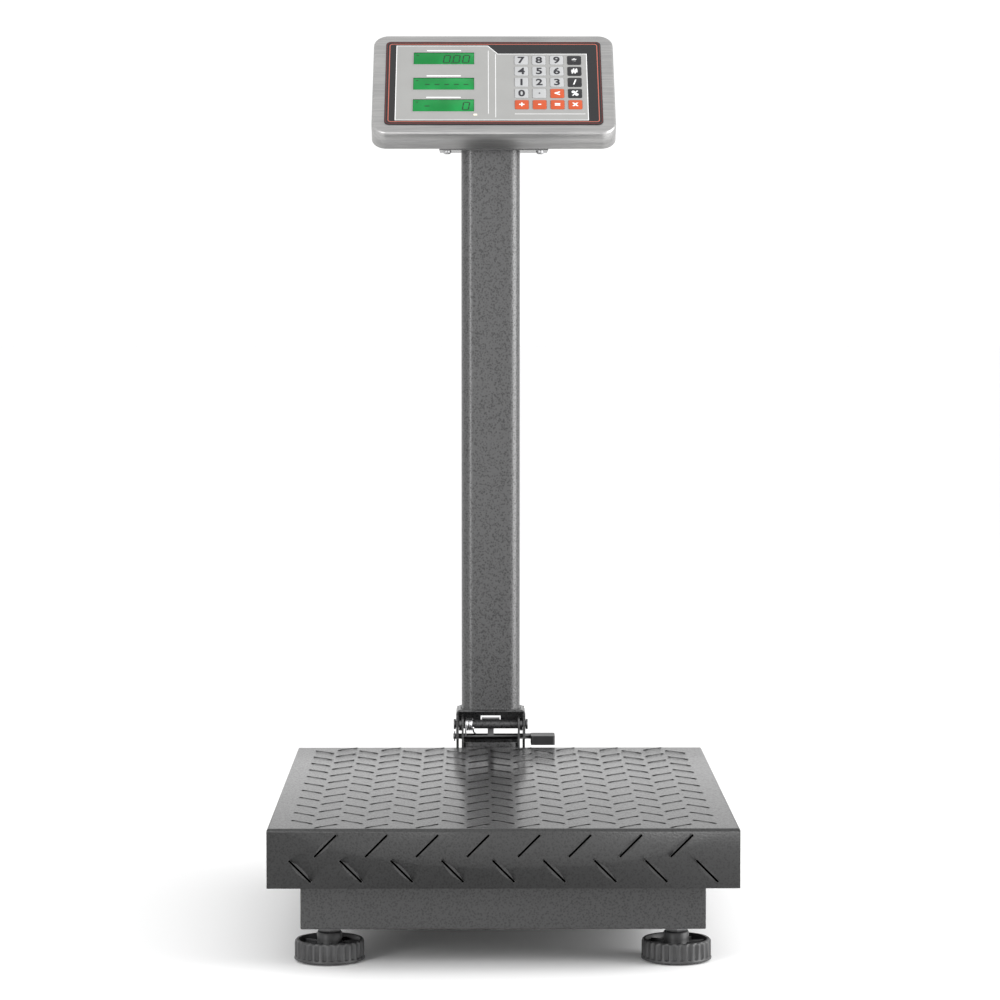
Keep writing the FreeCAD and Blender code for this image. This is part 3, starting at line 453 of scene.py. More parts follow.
def tube_along(name, points, radius, body, paint, stands_for=(), order=3, sides=10):
    """A round bar along a smooth line, as a mesh."""
    curve = bpy.data.curves.new(name, "CURVE")
    curve.dimensions, curve.bevel_depth, curve.bevel_resolution = "3D", radius, sides // 4 + 1
    curve.use_fill_caps, curve.resolution_u = True, 6
    line = curve.splines.new("NURBS")
    line.points.add(len(points) - 1)
    for spot, point in zip(line.points, points):
        spot.co = (*point, 1)
    line.order_u, line.use_endpoint_u = order, True
    holder = bpy.data.objects.new(name + "_line", curve)
    bpy.context.scene.collection.objects.link(holder)
    bpy.context.view_layer.update()
    mesh = bpy.data.meshes.new_from_object(holder.evaluated_get(bpy.context.evaluated_depsgraph_get()))
    bpy.data.objects.remove(holder)
    shape = bmesh.new()
    shape.from_mesh(mesh)
    bpy.data.meshes.remove(mesh)
    bmesh.ops.remove_doubles(shape, verts=shape.verts, dist=1e-7)
    bmesh.ops.recalc_face_normals(shape, faces=shape.faces)
    return finish_piece(shape, name, body, paint, stands_for)


# ------------------------------------------------------------------ platform

PAN_GAUGE = 2 * MM
TREAD_PITCH, TREAD_STEP = 21.5 * MM, 43 * MM
TREAD_LENGTH, TREAD_WIDTH = 27 * MM, 6.4 * MM
TREAD_RISE, SKIRT_RISE = 0.4 * MM, 0.2 * MM
TREAD_SHIFT = TREAD_STEP / 4
TREAD_LEAN = 45
# a mark stays this far inside the edges of the top and of a side, and sinks a hair into the sheet
TOP_MARGIN, SIDE_MARGIN, SUNK = 12 * MM, 11 * MM, 0.02 * MM
# the fold round the top, and the gap where two sides meet below it
FOLD, SEAM, SEAM_START = 2.2 * MM, 0.35 * MM, 3.2 * MM
# one mark's slope, as steps in from its edge and the part of its rise that each climbs
TREAD_SLOPE = ((0.2, 0.3), (0.25, 0.42), (0.25, 0.22), (0.2, 0.06))


def tread_mark(length, width, rise):
    """One raised lozenge, long along +X, standing on z = 0."""
    mark = bmesh.new()
    bmesh.ops.create_circle(mark, cap_ends=True, radius=0.5, segments=14)
    for vert in mark.verts:
        taper = 1 - abs(vert.co.x * 2) ** 2.2 * 0.62
        vert.co = Vector((vert.co.x * length, vert.co.y * width * taper, 0))
    outer = mark.faces[:]
    for inset, lift in TREAD_SLOPE:
        bmesh.ops.inset_region(mark, faces=outer, thickness=inset * width / 2, depth=0, use_boundary=True)
        inner = list({vert for face in outer for vert in face.verts})
        bmesh.ops.translate(mark, vec=(0, 0, lift * rise), verts=inner)
    return mark


def tread_field(width, depth, margin, rise, shift=0.0):
    """Lozenges in staggered columns that lean alternately left and right, on z = 0."""
    mark = tread_mark(TREAD_LENGTH, TREAD_WIDTH, rise)
    pattern = bpy.data.meshes.new("tread_mark")
    mark.to_mesh(pattern)
    mark.free()
    field = bmesh.new()
    columns = int((width / 2 - margin) / TREAD_PITCH)
    for column in range(-columns, columns + 1):
        lean = math.radians(TREAD_LEAN if column % 2 else -TREAD_LEAN)
        offset = TREAD_STEP / 2 if column % 2 else 0
        rows = int((depth / 2) / TREAD_STEP) + 1
        for row in range(-rows, rows + 1):
            across, along = column * TREAD_PITCH, row * TREAD_STEP + offset - shift
            if abs(along) > depth / 2 - margin or abs(across) > width / 2 - margin:
                continue
            before = len(field.verts)
            field.from_mesh(pattern)
            field.verts.ensure_lookup_table()
            fresh = field.verts[before:]
            place = Matrix.Translation((across, along, 0)) @ Matrix.Rotation(lean, 4, "Z")
            bmesh.ops.transform(field, matrix=place, verts=fresh)
    bpy.data.meshes.remove(pattern)
    return field


def lay(shape, origin, across, up):
    """Move a shape drawn on z = 0 so its +X and +Y run along two directions of the object."""
    out = across.cross(up)
    turn = Matrix((across, up, out)).transposed().to_4x4()
    bmesh.ops.transform(shape, matrix=Matrix.Translation(origin) @ turn, verts=shape.verts)
    return shape


def stands(edge):
    """True for an upright edge."""
    return abs((edge.verts[0].co - edge.verts[1].co).normalized().z) > 0.9


def make_platform():
    low, high = low_of("platform_pan"), high_of("platform_pan")
    centre = (low + high) / 2
    wide, deep, drop = high.x - low.x, high.y - low.y, high.z - low.z
    # the top sheet and its four folded sides; a hairline shows at each corner where the sides meet
    shell = bmesh.new()
    bmesh.ops.create_cube(shell, size=1)
    bmesh.ops.scale(shell, vec=(wide, deep, drop), verts=shell.verts)
    bmesh.ops.translate(shell, vec=centre, verts=shell.verts)
    underside = [face for face in shell.faces if face.normal.z < -0.9]
    bmesh.ops.delete(shell, geom=underside, context="FACES")
    corners = [edge for edge in shell.edges if stands(edge)]
    bmesh.ops.subdivide_edges(shell, edges=corners, cuts=1)
    for vert in shell.verts:
        if low.z + drop * 0.2 < vert.co.z < high.z - drop * 0.2:
            vert.co.z = high.z - SEAM_START
    uprights = [edge for edge in shell.edges if stands(edge) and len(edge.link_faces) == 2
                and max(vert.co.z for vert in edge.verts) < high.z - 1 * MM]
    bmesh.ops.split_edges(shell, edges=uprights)
    for face in list(shell.faces):
        if abs(face.normal.z) > 0.5 or min(vert.co.z for vert in face.verts) > low.z + drop * 0.5:
            continue
        middle_of_face = face.calc_center_median()
        for vert in face.verts:
            if vert.co.z > low.z + drop * 0.5 or not all(other is face for other in vert.link_faces):
                continue
            sideways = middle_of_face - vert.co
            sideways.z = 0
            vert.co += sideways.normalized() * SEAM
    top_edges = [edge for edge in shell.edges if all(vert.co.z > high.z - 0.5 * MM for vert in edge.verts)]
    bevel(shell, top_edges, FOLD, 4)
    bmesh.ops.recalc_face_normals(shell, faces=shell.faces)
    pan = finish_piece(shell, "treaded_pan", "platform", "pan", ["platform_pan"],
                       smooth=40)
    wall = pan.modifiers.new("sheet", "SOLIDIFY")
    wall.thickness, wall.offset = PAN_GAUGE, -1
    # tread marks on the top and, pressed flatter by the folding, on the sides
    top_at = Vector((centre.x, centre.y, high.z - SUNK))
    marks = [lay(tread_field(wide, deep, TOP_MARGIN, TREAD_RISE), top_at, X, Y)]
    side_z = (low.z + high.z) / 2
    for across, length, face_at in ((X, wide, Vector((centre.x, low.y + SUNK, side_z))),
                                    (-X, wide, Vector((centre.x, high.y - SUNK, side_z))),
                                    (-Y, deep, Vector((low.x + SUNK, centre.y, side_z))),
                                    (Y, deep, Vector((high.x - SUNK, centre.y, side_z)))):
        field = tread_field(length, drop, SIDE_MARGIN, SKIRT_RISE, TREAD_SHIFT)
        marks.append(lay(field, face_at, across, Z))
    finish_piece(join_shapes(marks), "tread_marks", "platform", "pan", smooth=60)


# ------------------------------------------------------------------ base and feet

# radii of the weld beads
FRAME_BEAD, ARM_BEAD, POST_BEAD, MAST_BEAD = 1.5 * MM, 1.8 * MM, 1.7 * MM, 1.4 * MM


def make_base():
    for node in ("base_end_rails", "base_side_rails", "post_arm", "base_cross_member"):
        eased(node, 1.0 * MM, "base", "frame")
    for node in ("weigh_bars", "weigh_spine"):
        eased(node, 0.8 * MM, "weigh_frame", "frame")
    beads = []
    low, high = low_of("base_end_rails"), high_of("base_end_rails")
    for across in (low.x + 0.4 * MM, high.x - 0.4 * MM):
        for along in (low.y + 28 * MM, high.y - 28 * MM):
            foot, head = (across, along, low.z + 2 * MM), (across, along, high.z - 2 * MM)
            beads.append(weld_bead(foot, head, FRAME_BEAD))
    arm_low, arm_high = low_of("post_arm"), high_of("post_arm")
    seam_y = high.y + 0.3 * MM
    beads.append(weld_bead((arm_low.x, seam_y, arm_low.z), (arm_low.x, seam_y, arm_high.z), ARM_BEAD))
    beads.append(weld_bead((arm_high.x, seam_y, arm_low.z), (arm_high.x, seam_y, arm_high.z), ARM_BEAD))
    beads.append(weld_bead((arm_low.x, seam_y, arm_high.z), (arm_high.x, seam_y, arm_high.z), ARM_BEAD))
    finish_piece(join_shapes(beads), "base_welds", "base", "frame", smooth=80)


def weld_bead(start, end, radius):
    """A run of overlapping puddles between two points."""
    start, end = Vector(start), Vector(end)
    along = (end - start).normalized()
    count = max(3, int((end - start).length / (radius * 1.1)))
    bead = bmesh.new()
    for index in range(count + 1):
        spot = start.lerp(end, index / count)
        turn = along.to_track_quat("Z", "Y").to_matrix().to_4x4()
        place = Matrix.Translation(spot) @ turn @ Matrix.Diagonal((1, 1, 0.75, 1))
        bmesh.ops.create_icosphere(bead, subdivisions=1, radius=radius, matrix=place)
    return bead


WHEEL_FLUTES, WHEEL_RIBS = 28, 8
# the hand wheel's radii and heights, and the hollow that it has over its pad
WHEEL_RIM, HUB, RIM_TOP, HUB_TOP, DISH_FLOOR = 30 * MM, 10.5 * MM, 18.6 * MM, 25 * MM, 11.6 * MM
RECESS, RECESS_TOP = 22.6 * MM, 3.8 * MM
FLUTE_DEPTH, FLUTE_LOW = 1.25 * MM, 3 * MM
STUD_RADIUS, THREAD_PITCH, JAM_NUT, JAM_NUT_ACROSS = 5.9 * MM, 1.75 * MM, 7 * MM, 19 * MM


def foot_wheel(centre, low_z):
    """A hand wheel: turned dish, fluted rim and radial ribs round a hub, hollow below over its pad."""
    rim, hub, rim_top, floor, hub_top = WHEEL_RIM, HUB, RIM_TOP, DISH_FLOOR, HUB_TOP
    profile = [(0, RECESS_TOP), (RECESS, RECESS_TOP), (RECESS, low_z), (rim - 1 * MM, low_z),
               (rim + 0.3 * MM, low_z + 0.5 * MM), (rim + 0.5 * MM, low_z + 1.6 * MM),
               (rim + 0.1 * MM, low_z + 2.6 * MM), (rim, low_z + 3.2 * MM), (rim, rim_top - 2.4 * MM),
               (rim - 0.4 * MM, rim_top - 0.9 * MM), (rim - 1.4 * MM, rim_top), (rim - 3.4 * MM, rim_top),
               (rim - 4 * MM, rim_top - 0.7 * MM), (rim - 5 * MM, floor), (hub + 2.5 * MM, floor),
               (hub + 1.2 * MM, floor + 2 * MM), (hub, rim_top), (hub + 0.6 * MM, hub_top - 1 * MM),
               (hub - 0.2 * MM, hub_top), (0, hub_top)]
    wheel = spun(profile, WHEEL_FLUTES * 6)
    for vert in wheel.verts:
        radius = math.hypot(vert.co.x, vert.co.y)
        if radius < rim - 2 * MM or not low_z + FLUTE_LOW <= vert.co.z <= rim_top - 0.4 * MM:
            continue
        wave = math.cos(math.atan2(vert.co.y, vert.co.x) * WHEEL_FLUTES)
        fade = 0.4 if vert.co.z > rim_top - 1.2 * MM else 1.0
        bite = max(0.0, 0.3 - wave) ** 0.6 * FLUTE_DEPTH * fade
        vert.co.x *= (radius - bite) / radius
        vert.co.y *= (radius - bite) / radius
    ribs = []
    for index in range(WHEEL_RIBS):
        length = rim - 5 * MM - hub
        rib = box_shape((length, 2.0 * MM, 5.5 * MM), (hub + length / 2, 0, floor + 2.0 * MM), 0.5 * MM)
        turn = Matrix.Rotation(index * math.tau / WHEEL_RIBS + 0.2, 3, "Z")
        bmesh.ops.rotate(rib, cent=(0, 0, 0), matrix=turn, verts=rib.verts)
        ribs.append(rib)
    whole = join_shapes([wheel] + ribs)
    bmesh.ops.translate(whole, vec=(centre.x, centre.y, 0), verts=whole.verts)
    return whole


def threaded_stud(centre, low_z, high_z, radius, pitch):
    """A stud whose thread is turned as a stack of ridges one pitch apart."""
    profile = [(0, low_z)]
    ridges = int((high_z - low_z - 1.5 * MM) / pitch)
    for index in range(ridges):
        profile += [(radius - 0.75 * MM, low_z + index * pitch), (radius, low_z + (index + 0.5) * pitch)]
    profile += [(radius - 0.9 * MM, low_z + ridges * pitch), (radius - 1.6 * MM, high_z), (0, high_z)]
    return spun(profile, 24, (centre.x, centre.y, 0))


def hex_nut(centre, low_z, height, across):
    """A hexagon nut with its top and bottom edges eased."""
    nut = bmesh.new()
    radius = across / math.sqrt(3)
    bmesh.ops.create_cone(nut, cap_ends=True, segments=6, radius1=radius, radius2=radius, depth=height)
    level = [edge for edge in nut.edges if abs(edge.verts[0].co.z - edge.verts[1].co.z) < 1e-6]
    bevel(nut, level, 0.9 * MM, 2)
    bmesh.ops.translate(nut, vec=(centre.x, centre.y, low_z + height / 2), verts=nut.verts)
    return nut


def make_feet():
    for node in [name for name in frame["nodes"] if name.startswith("foot_wheel_")]:
        centre, low, high = middle(node), low_of(node), high_of(node)
        stud = join_shapes([threaded_stud(centre, HUB_TOP - 1 * MM, high.z, STUD_RADIUS, THREAD_PITCH),
                            hex_nut(centre, HUB_TOP, JAM_NUT, JAM_NUT_ACROSS)])
        finish_piece(stud, node.replace("wheel", "stud"), node, "dark_zinc", smooth=30)
        wheel = foot_wheel(centre, low.z)
        finish_piece(wheel, node + "_moulding", node, "wheel", [node], smooth=45)
        pad = node.replace("wheel", "pad")
        radius, top = high_of(pad).x - centre.x, high_of(pad).z
        rings = [(0, 0), (radius - 1.5 * MM, 0), (radius, 1.2 * MM), (radius, top - 0.6 * MM),
                 (radius - 0.6 * MM, top), (0, top)]
        disc = spun(rings, 72, (centre.x, centre.y, 0))
        finish_piece(disc, pad + "_moulding", pad, "rubber", [pad], smooth=40)


# ------------------------------------------------------------------ mast

TUBE_CORNER, TUBE_GAUGE = 12 * MM, 1.5 * MM
# a bead along a tube's side stops this far from its corners
BEAD_STOP = 13 * MM


def make_mast_tube():
    """A length of rounded rectangular tube, its wall seen at the open end."""
    low, high = low_of("pole_tube"), high_of("pole_tube")
    wide, deep, tall = high.x - low.x, high.y - low.y, high.z - low.z
    tube = rounded_outline(bmesh.new(), wide, deep, TUBE_CORNER, 14)
    face = tube.faces[:]
    bmesh.ops.inset_region(tube, faces=face, thickness=TUBE_GAUGE, depth=0, use_boundary=True)
    bmesh.ops.delete(tube, geom=face, context="FACES")
    raise_faces(tube, tube.faces[:], (0, 0, tall))
    bmesh.ops.recalc_face_normals(tube, faces=tube.faces)
    bmesh.ops.translate(tube, vec=((low.x + high.x) / 2, (low.y + high.y) / 2, low.z), verts=tube.verts)
    finish_piece(tube, "mast_tube", "mast", "mast", ["pole_tube"], smooth=35)


def make_mast():
    make_mast_tube()
    eased("hinge_post", 0.5 * MM, "base", "mast")
    eased("pole_bracket", 0.7 * MM, "mast", "mast", segments=3)
    eased("mount_plate", 0.5 * MM, "mast", "mast")
    low, high = low_of("pole_tube"), high_of("pole_tube")
    level, left, right = low.z + 0.4 * MM, low.x + BEAD_STOP, high.x - BEAD_STOP
    beads = []
    for edge_x in (high.x, low.x):
        start, end = (edge_x, low.y + BEAD_STOP, level), (edge_x, high.y - BEAD_STOP, level)
        beads.append(weld_bead(start, end, MAST_BEAD))
    for along in (low.y, high.y):
        beads.append(weld_bead((left, along, level), (right, along, level), MAST_BEAD))
    finish_piece(join_shapes(beads), "mast_weld", "mast", "mast", smooth=80)
    post_low, post_high = low_of("hinge_post"), high_of("hinge_post")
    level = post_low.z + 0.3 * MM
    beads = []
    for along in (post_low.y, post_high.y):
        beads.append(weld_bead((left, along, level), (right, along, level), POST_BEAD))
    for edge_x in (post_low.x, post_high.x):
        start, end = (edge_x, post_low.y + BEAD_STOP, level), (edge_x, post_high.y - BEAD_STOP, level)
        beads.append(weld_bead(start, end, POST_BEAD))
    finish_piece(join_shapes(beads), "post_weld", "base", "frame", smooth=80)


# the torsion spring
COIL_RADIUS, COIL_PITCH, COIL_TURNS, COIL_STEPS, SPRING_WIRE = 6 * MM, 1.9 * MM, 4, 12, 0.8 * MM


def make_hinge():
    eased("pivot_barrel", 0.4 * MM, "base", "mast")
    eased("pivot_pin", 0.7 * MM, "base", "dark_zinc", segments=3)
    eased("pivot_washers", 0.25 * MM, "base", "dark_zinc")
    eased("lock_rod", 0.4 * MM, "lock_lever", "dark_zinc")
    eased("lever_grip", 1.6 * MM, "lock_lever", "vinyl", segments=4)
    pivot = middle("pivot_barrel")
    start = low_of("lock_spring").x + SPRING_WIRE
    leg = Vector((start, pivot.y - 4 * MM, pivot.z - 11.5 * MM))
    points = [leg, leg + Vector((0, -1.2 * MM, 4 * MM))]
    for step in range(COIL_TURNS * COIL_STEPS + 1):
        angle = math.radians(200) - step * math.tau / COIL_STEPS
        points.append(Vector((start + step * COIL_PITCH / COIL_STEPS, pivot.y + math.cos(angle) * COIL_RADIUS,
                              pivot.z + math.sin(angle) * COIL_RADIUS)))
    end = start + COIL_TURNS * COIL_PITCH
    points.append(Vector((end, pivot.y - 3.5 * MM, pivot.z - 8 * MM)))
    points.append(Vector((end + 2 * MM, pivot.y + 6 * MM, pivot.z - 10 * MM)))
    tube_along("torsion_spring", points, SPRING_WIRE, "base", "spring", ["lock_spring"])


# ------------------------------------------------------------------ display head

# a key travels straight into the head's face
FACE_OUT = -Vector(next(joint["axis"] for joint in frame["record"]["behaviour"]["joints"]
                        if joint["name"] == "press_7")).normalized()
FACE_UP = FACE_OUT.cross(X)


def face_centre():
    """The middle of the head's front plane, from the overlay, whose back lies on it."""
    low, high = low_of("keypad_overlay"), high_of("keypad_overlay")
    return (low + high) / 2 - FACE_OUT * 0.4 * MM


def on_face(shape, across=0.0, up=0.0, out=0.0):
    return lay(shape, face_centre() + X * across + FACE_UP * up + FACE_OUT * out, X, FACE_UP)


# the head's tray: its sizes, corner radius, folded edge and sheet
HEAD_WIDE, HEAD_TALL, HEAD_DEEP, HEAD_CORNER = 240 * MM, 150 * MM, 21 * MM, 15 * MM
HEAD_EDGE, HEAD_GAUGE = 2.6 * MM, 1 * MM


def make_housing():
    cover = plate_shape(HEAD_WIDE, HEAD_TALL, HEAD_DEEP, HEAD_CORNER, HEAD_EDGE, 14, 5)
    under = [face for face in cover.faces if face.normal.z < -0.9]
    bmesh.ops.delete(cover, geom=under, context="FACES_ONLY")
    on_face(cover, out=-HEAD_DEEP)
    piece = finish_piece(cover, "head_cover", "mast", "stainless", ["housing_cover"],
                         smooth=40)
    wall = piece.modifiers.new("sheet", "SOLIDIFY")
    wall.thickness, wall.offset = HEAD_GAUGE, -1
    eased("housing_back", 0.8 * MM, "mast", "powder")


# places on the face, from its middle: across to the right, up the slope
PANEL_LEFT, PANEL_RIGHT, PANEL_LOW = -96.4 * MM, 92.6 * MM, -56.9 * MM
PANEL_HIGH, PANEL_SHOULDER = 56.7 * MM, 44.0 * MM
STEP_LEFT, STEP_RIGHT = -5.8 * MM, 4.2 * MM
LCD_ACROSS, LCD_WIDE, LCD_TALL = -49.5 * MM, 60.5 * MM, 18.4 * MM
LCD_ROWS = {"weight": 37.3 * MM, "price": -2.0 * MM, "total": -35.1 * MM}
KEY_COLUMN, KEY_PITCH, KEY_ROW, ROW_PITCH = 27.7 * MM, 17.6 * MM, 34.4 * MM, 17.1 * MM
KEY_SIZE, KEY_CORNER, KEY_LOW, KEY_HIGH = 13.6 * MM, 1.6 * MM, 0.5 * MM, 1.25 * MM
FILM_HALF_WIDE, FILM_HALF_TALL, FILM = 107.5 * MM, 63.5 * MM, 0.8 * MM


def flat_cut(shape, point, across, up):
    """Split every face along the line through a point in the direction (across, up)."""
    normal = Vector((-up, across, 0))
    bmesh.ops.bisect_plane(shape, geom=shape.verts[:] + shape.edges[:] + shape.faces[:], dist=1e-7,
                           plane_co=Vector((*point, 0)), plane_no=normal)


def in_panel(spot, grow=0.0):
    """True inside the grey panel, grown by a margin."""
    within = PANEL_LEFT - grow < spot.x < PANEL_RIGHT + grow and PANEL_LOW - grow < spot.y < PANEL_HIGH + grow
    if within and spot.y > PANEL_SHOULDER + grow:
        slope = (PANEL_SHOULDER - PANEL_HIGH) / (STEP_RIGHT - STEP_LEFT)
        step_y = PANEL_HIGH + grow + (spot.x - STEP_LEFT - grow * SLANT) * slope
        return spot.x < STEP_LEFT + grow or spot.y < step_y
    return within


# the printed outlines: inset from the film's edge, width and corner radius
OUTLINES = {"film_edge_line": (0.8 * MM, 0.5 * MM, 4.4 * MM, "maroon"),
            "film_outline": (3.4 * MM, 0.8 * MM, 3.2 * MM, "salmon")}
# how far print stands up from its film or glass
INK = 0.06 * MM
PANEL_LINE = 0.7 * MM
# how far the line's slanted part moves across for each part that the panel grows
SLANT = 0.45
# the printed rules: across, up, width and height in millimetres
RULES = ((-5.2, 0.9, 0.5, 97.1), (2.0, -4.6, 0.5, 97.2), (55.4, -48.0, 69.6, 0.5))


def make_film():
    """The printed film: black border with a double outline, and a stepped grey panel with a white edge."""
    film = cad_shape("keypad_overlay")
    centre = face_centre()
    turn = Matrix((X, FACE_UP, FACE_OUT)).to_4x4()
    bmesh.ops.transform(film, matrix=turn @ Matrix.Translation(-centre), verts=film.verts)
    for grow in (0, PANEL_LINE):
        flat_cut(film, (PANEL_LEFT - grow, 0), 0, 1)
        flat_cut(film, (PANEL_RIGHT + grow, 0), 0, 1)
        flat_cut(film, (0, PANEL_LOW - grow), 1, 0)
        flat_cut(film, (0, PANEL_HIGH + grow), 1, 0)
        flat_cut(film, (0, PANEL_SHOULDER + grow), 1, 0)
        flat_cut(film, (STEP_LEFT + grow * SLANT, PANEL_HIGH + grow), STEP_RIGHT - STEP_LEFT,
                 PANEL_SHOULDER - PANEL_HIGH)
        flat_cut(film, (STEP_LEFT + grow, 0), 0, 1)
    for face in film.faces:
        spot = face.calc_center_median()
        if face.normal.z < 0.5:
            face.material_index = 0
        elif in_panel(spot):
            face.material_index = 1
        else:
            face.material_index = 2 if in_panel(spot, PANEL_LINE) else 0
    on_face(film)
    finish_piece(film, "printed_film", "mast", ["film", "panel", "chalk"], ["keypad_overlay"],
                 smooth=0)
    for name, (inset, line, corner, paint) in OUTLINES.items():
        ring = flat_ring(2 * (FILM_HALF_WIDE - inset), 2 * (FILM_HALF_TALL - inset), corner, line, INK)
        finish_piece(on_face(ring, out=FILM), name, "mast", paint, smooth=0)
    # raised white rules and the small lamp
    rules = []
    for across, up, wide, tall in RULES:
        rule = box_shape((wide * MM, tall * MM, 0.08 * MM), (0, 0, 0.04 * MM))
        rules.append(on_face(rule, across * MM, up * MM, FILM))
    for row in LCD_ROWS.values():
        rule = box_shape((34 * MM, 1.5 * MM, 0.08 * MM), (0, 0, 0.04 * MM))
        rules.append(on_face(rule, LCD_ACROSS, row + 12.2 * MM, FILM))
    finish_piece(join_shapes(rules), "film_rules", "mast", "chalk", smooth=0)
    lamp = plate_shape(4.0 * MM, 2.6 * MM, 0.5 * MM, 0.8 * MM, 0.2 * MM, 4, 2)
    on_face(lamp, -18.2 * MM, -49.3 * MM, FILM)
    finish_piece(lamp, "indicator_lamp", "mast", "lamp")


def flat_ring(width, height, corner, line, rise):
    """A raised line round a rounded rectangle."""
    ring = rounded_outline(bmesh.new(), width, height, corner, 8)
    sheet = ring.faces[:]
    bmesh.ops.inset_region(ring, faces=sheet, thickness=line, depth=0, use_boundary=True)
    bmesh.ops.delete(ring, geom=sheet, context="FACES")
    raise_faces(ring, ring.faces[:], (0, 0, rise))
    bmesh.ops.recalc_face_normals(ring, faces=ring.faces)
    return ring


# the bars that each figure lights, and what the displays read
SEGMENTS = {"0": "abcdef", "-": "g"}
READINGS = {"weight": ["0", "0", "0"], "price": ["-", "-", "-", "-", "-"], "total": ["-", "0"]}
# a figure's height, slant, bar and pitch, and how far it stands in from the end
DIGIT_TALL, DIGIT_SLANT, DIGIT_BAR, DIGIT_PITCH, DIGIT_END = 11.5 * MM, 0.12, 1.2 * MM, 9.6 * MM, 8 * MM
GLASS_TOP, GLASS_THICK = 0.5 * MM, 2.1 * MM


def digit_shape(letter, tall, thick):
    """A slanted seven-segment digit, drawn flat round its own middle."""
    wide = tall * 0.52
    bars = {"a": (0, tall / 2, 1), "d": (0, -tall / 2, 1), "g": (0, 0, 1),
            "b": (wide / 2, tall / 4, 0), "c": (wide / 2, -tall / 4, 0),
            "f": (-wide / 2, tall / 4, 0), "e": (-wide / 2, -tall / 4, 0)}
    parts = []
    for bar in SEGMENTS[letter]:
        across, up, flat = bars[bar]
        size = (wide * 0.8, thick, INK) if flat else (thick, tall * 0.42, INK)
        parts.append(box_shape(size, (across, up, INK / 2)))
    digit = join_shapes(parts)
    for vert in digit.verts:
        vert.co.x += vert.co.y * DIGIT_SLANT
    return digit


def make_displays():
    """Three backlit windows, each glass in a thin dark frame, with their figures."""
    glass, frames, figures = [], [], []
    for name, up in LCD_ROWS.items():
        pane = plate_shape(LCD_WIDE, LCD_TALL, GLASS_THICK, 1.0 * MM, 0.3 * MM, 5, 2)
        glass.append(on_face(pane, LCD_ACROSS, up, GLASS_TOP - GLASS_THICK))
        rim = flat_ring(LCD_WIDE + 1.6 * MM, LCD_TALL + 1.6 * MM, 1.4 * MM, 0.75 * MM, 0.18 * MM)
        frames.append(on_face(rim, LCD_ACROSS, up, FILM))
        last = LCD_ACROSS + LCD_WIDE / 2 - DIGIT_END
        for index, letter in enumerate(reversed(READINGS[name])):
            # the sign of the total stands at the far end of its row
            place = 4 if name == "total" and letter == "-" else index
            digit = digit_shape(letter, DIGIT_TALL, DIGIT_BAR)
            figures.append(on_face(digit, last - place * DIGIT_PITCH, up - 0.6 * MM, GLASS_TOP))
        if name == "weight":
            point = box_shape((1.4 * MM, 1.4 * MM, INK), (0, 0, INK / 2))
            figures.append(on_face(point, last - 14.5 * MM, up - 6.6 * MM, GLASS_TOP))
        mark = box_shape((2.2 * MM, 1.0 * MM, INK), (0, 0, INK / 2))
        figures.append(on_face(mark, LCD_ACROSS - LCD_WIDE / 2 + 4 * MM, up + 5.4 * MM, GLASS_TOP))
    finish_piece(join_shapes(glass), "display_glass", "mast", "glass", ["lcd_glasses"])
    finish_piece(join_shapes(frames), "display_frames", "mast", "panel", smooth=0)
    finish_piece(join_shapes(figures), "display_figures", "mast", "segment", smooth=0)


# what each key shows: numbers, or a plain sign
KEY_MARKS = {
    "key_7": "7", "key_8": "8", "key_9": "9", "key_price": "*",
    "key_4": "4", "key_5": "5", "key_6": "6", "key_store": "#",
    "key_1": "1", "key_2": "2", "key_3": "3", "key_change": "/",
    "key_0": "0", "key_point": ".", "key_clear": "<", "key_unit": "%",
    "key_add": "+", "key_tare": "-", "key_zero": "=", "key_total": "x",
}
# heights of a number and of a sign, and how far the print stands up from the face
NUMBER_TALL, SIGN_TALL, PRINT_OUT, PRINT_THICK = 13.5 * MM, 10 * MM, 1.27 * MM, 0.12 * MM


def sign_shape(text, tall, thick):
    """A number or sign as a thin solid, centred."""
    font = bpy.data.curves.new("sign", "FONT")
    font.body, font.size, font.extrude, font.offset = text, tall, thick / 2, 0.03 * tall
    font.align_x, font.align_y, font.resolution_u = "CENTER", "CENTER", 3
    holder = bpy.data.objects.new("sign", font)
    bpy.context.scene.collection.objects.link(holder)
    bpy.context.view_layer.update()
    mesh = bpy.data.meshes.new_from_object(holder.evaluated_get(bpy.context.evaluated_depsgraph_get()))
    bpy.data.objects.remove(holder)
    shape = bmesh.new()
    shape.from_mesh(mesh)
    bpy.data.meshes.remove(mesh)
    bmesh.ops.remove_doubles(shape, verts=shape.verts, dist=1e-7)
    low = Vector((min(v.co.x for v in shape.verts), min(v.co.y for v in shape.verts), 0))
    high = Vector((max(v.co.x for v in shape.verts), max(v.co.y for v in shape.verts), 0))
    bmesh.ops.translate(shape, vec=-(low + high) / 2, verts=shape.verts)
    return shape


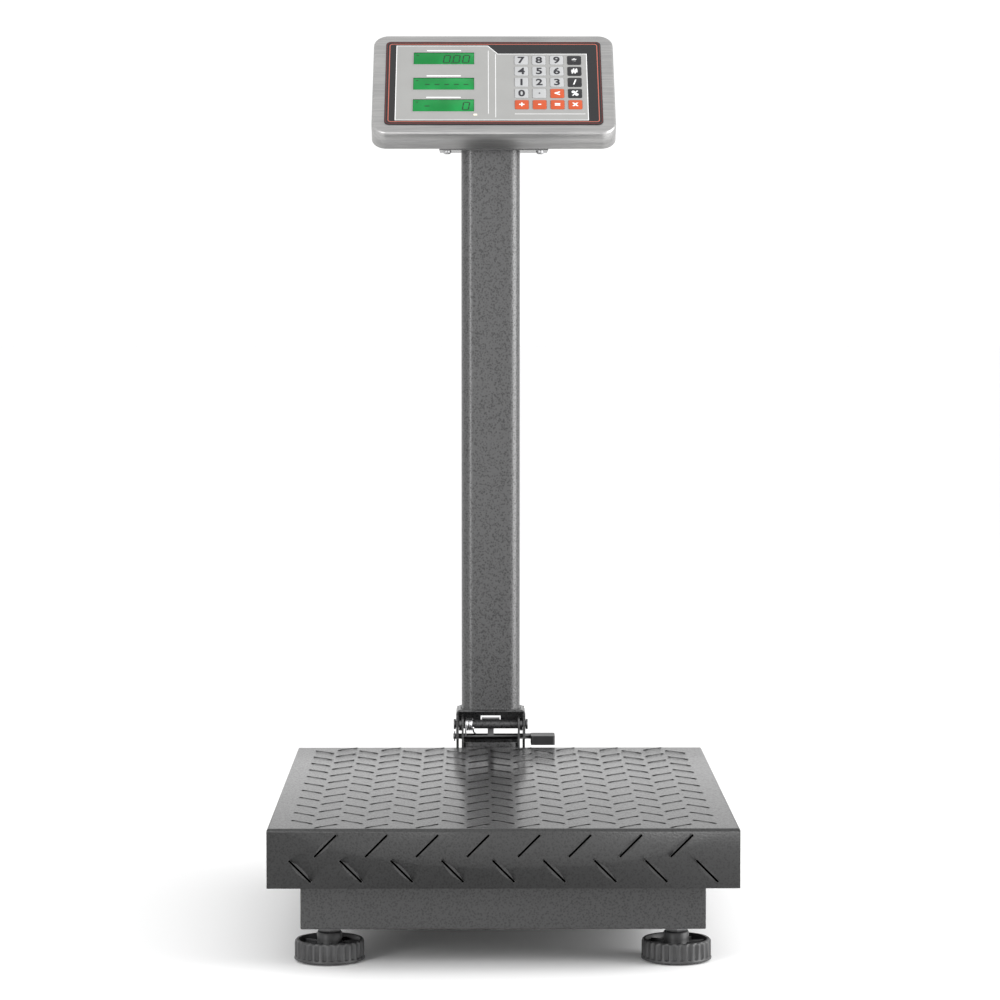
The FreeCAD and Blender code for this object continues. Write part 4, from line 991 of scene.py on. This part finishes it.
def make_keys():
    """Domed keys that stand just proud of the film."""
    slots = {item["node"]: item["material_slot"] for item in frame["record"]["subparts"]}
    for index, (node, mark) in enumerate(KEY_MARKS.items()):
        column, row = index % 4, index // 4
        across, up = KEY_COLUMN + column * KEY_PITCH, KEY_ROW - row * ROW_PITCH
        slot = slots[node]
        cap = plate_shape(KEY_SIZE, KEY_SIZE, KEY_HIGH - KEY_LOW, KEY_CORNER, 0.35 * MM, 6, 3)
        on_face(cap, across, up, KEY_LOW)
        finish_piece(cap, node + "_dome", node, slot, [node], smooth=50)
        sign = sign_shape(mark, NUMBER_TALL if mark.isdigit() else SIGN_TALL, PRINT_THICK)
        on_face(sign, across, up, PRINT_OUT)
        ink = "ink" if slot == "white_key" else "chalk"
        finish_piece(sign, node + "_print", node, ink, smooth=0)


def make_head_parts():
    """The mount plate's screws, and the switch and charging socket."""
    low, high = low_of("mount_screws"), high_of("mount_screws")
    screws = []
    for across in (low.x + 4 * MM, high.x - 4 * MM):
        centre = Vector((across, (low.y + high.y) / 2, 0))
        profile = [(0, low.z + 0.9 * MM), (1.3 * MM, low.z + 0.9 * MM), (1.5 * MM, low.z + 0.1 * MM),
                   (2.6 * MM, low.z + 0.3 * MM), (3.7 * MM, low.z + 1.3 * MM), (4 * MM, low.z + 2.4 * MM),
                   (4 * MM, low.z + 3.5 * MM), (2 * MM, low.z + 3.5 * MM), (2 * MM, high.z), (0, high.z)]
        screws.append(spun(profile, 32, (centre.x, centre.y, 0)))
    finish_piece(join_shapes(screws), "mount_screw_heads", "mast", "zinc", ["mount_screws"])
    eased("power_inlets", 0.4 * MM, "mast", "switch")
    eased("power_rocker", 0.5 * MM, "power_rocker", "switch", segments=3)


PLAIN_NODES = {
    "foot_nuts": "zinc", "cell_lower_bolts": "dark_zinc", "cell_upper_bolts": "dark_zinc",
    "overload_stops": "zinc", "load_cell": "aluminium", "platform_pads": "rubber",
    "circuit_board": "board", "battery": "battery",
}


def paint_nodes():
    """Finishes for the CAD nodes that show as they are."""
    for node, paint in PLAIN_NODES.items():
        thing = frame["nodes"][node]
        thing.data.materials.clear()
        thing.data.materials.append(PAINTS[paint])


make_camera()
make_studio()
mix_paints()
make_platform()
make_base()
make_feet()
make_mast()
make_hinge()
make_housing()
make_film()
make_displays()
make_keys()
make_head_parts()
paint_nodes()
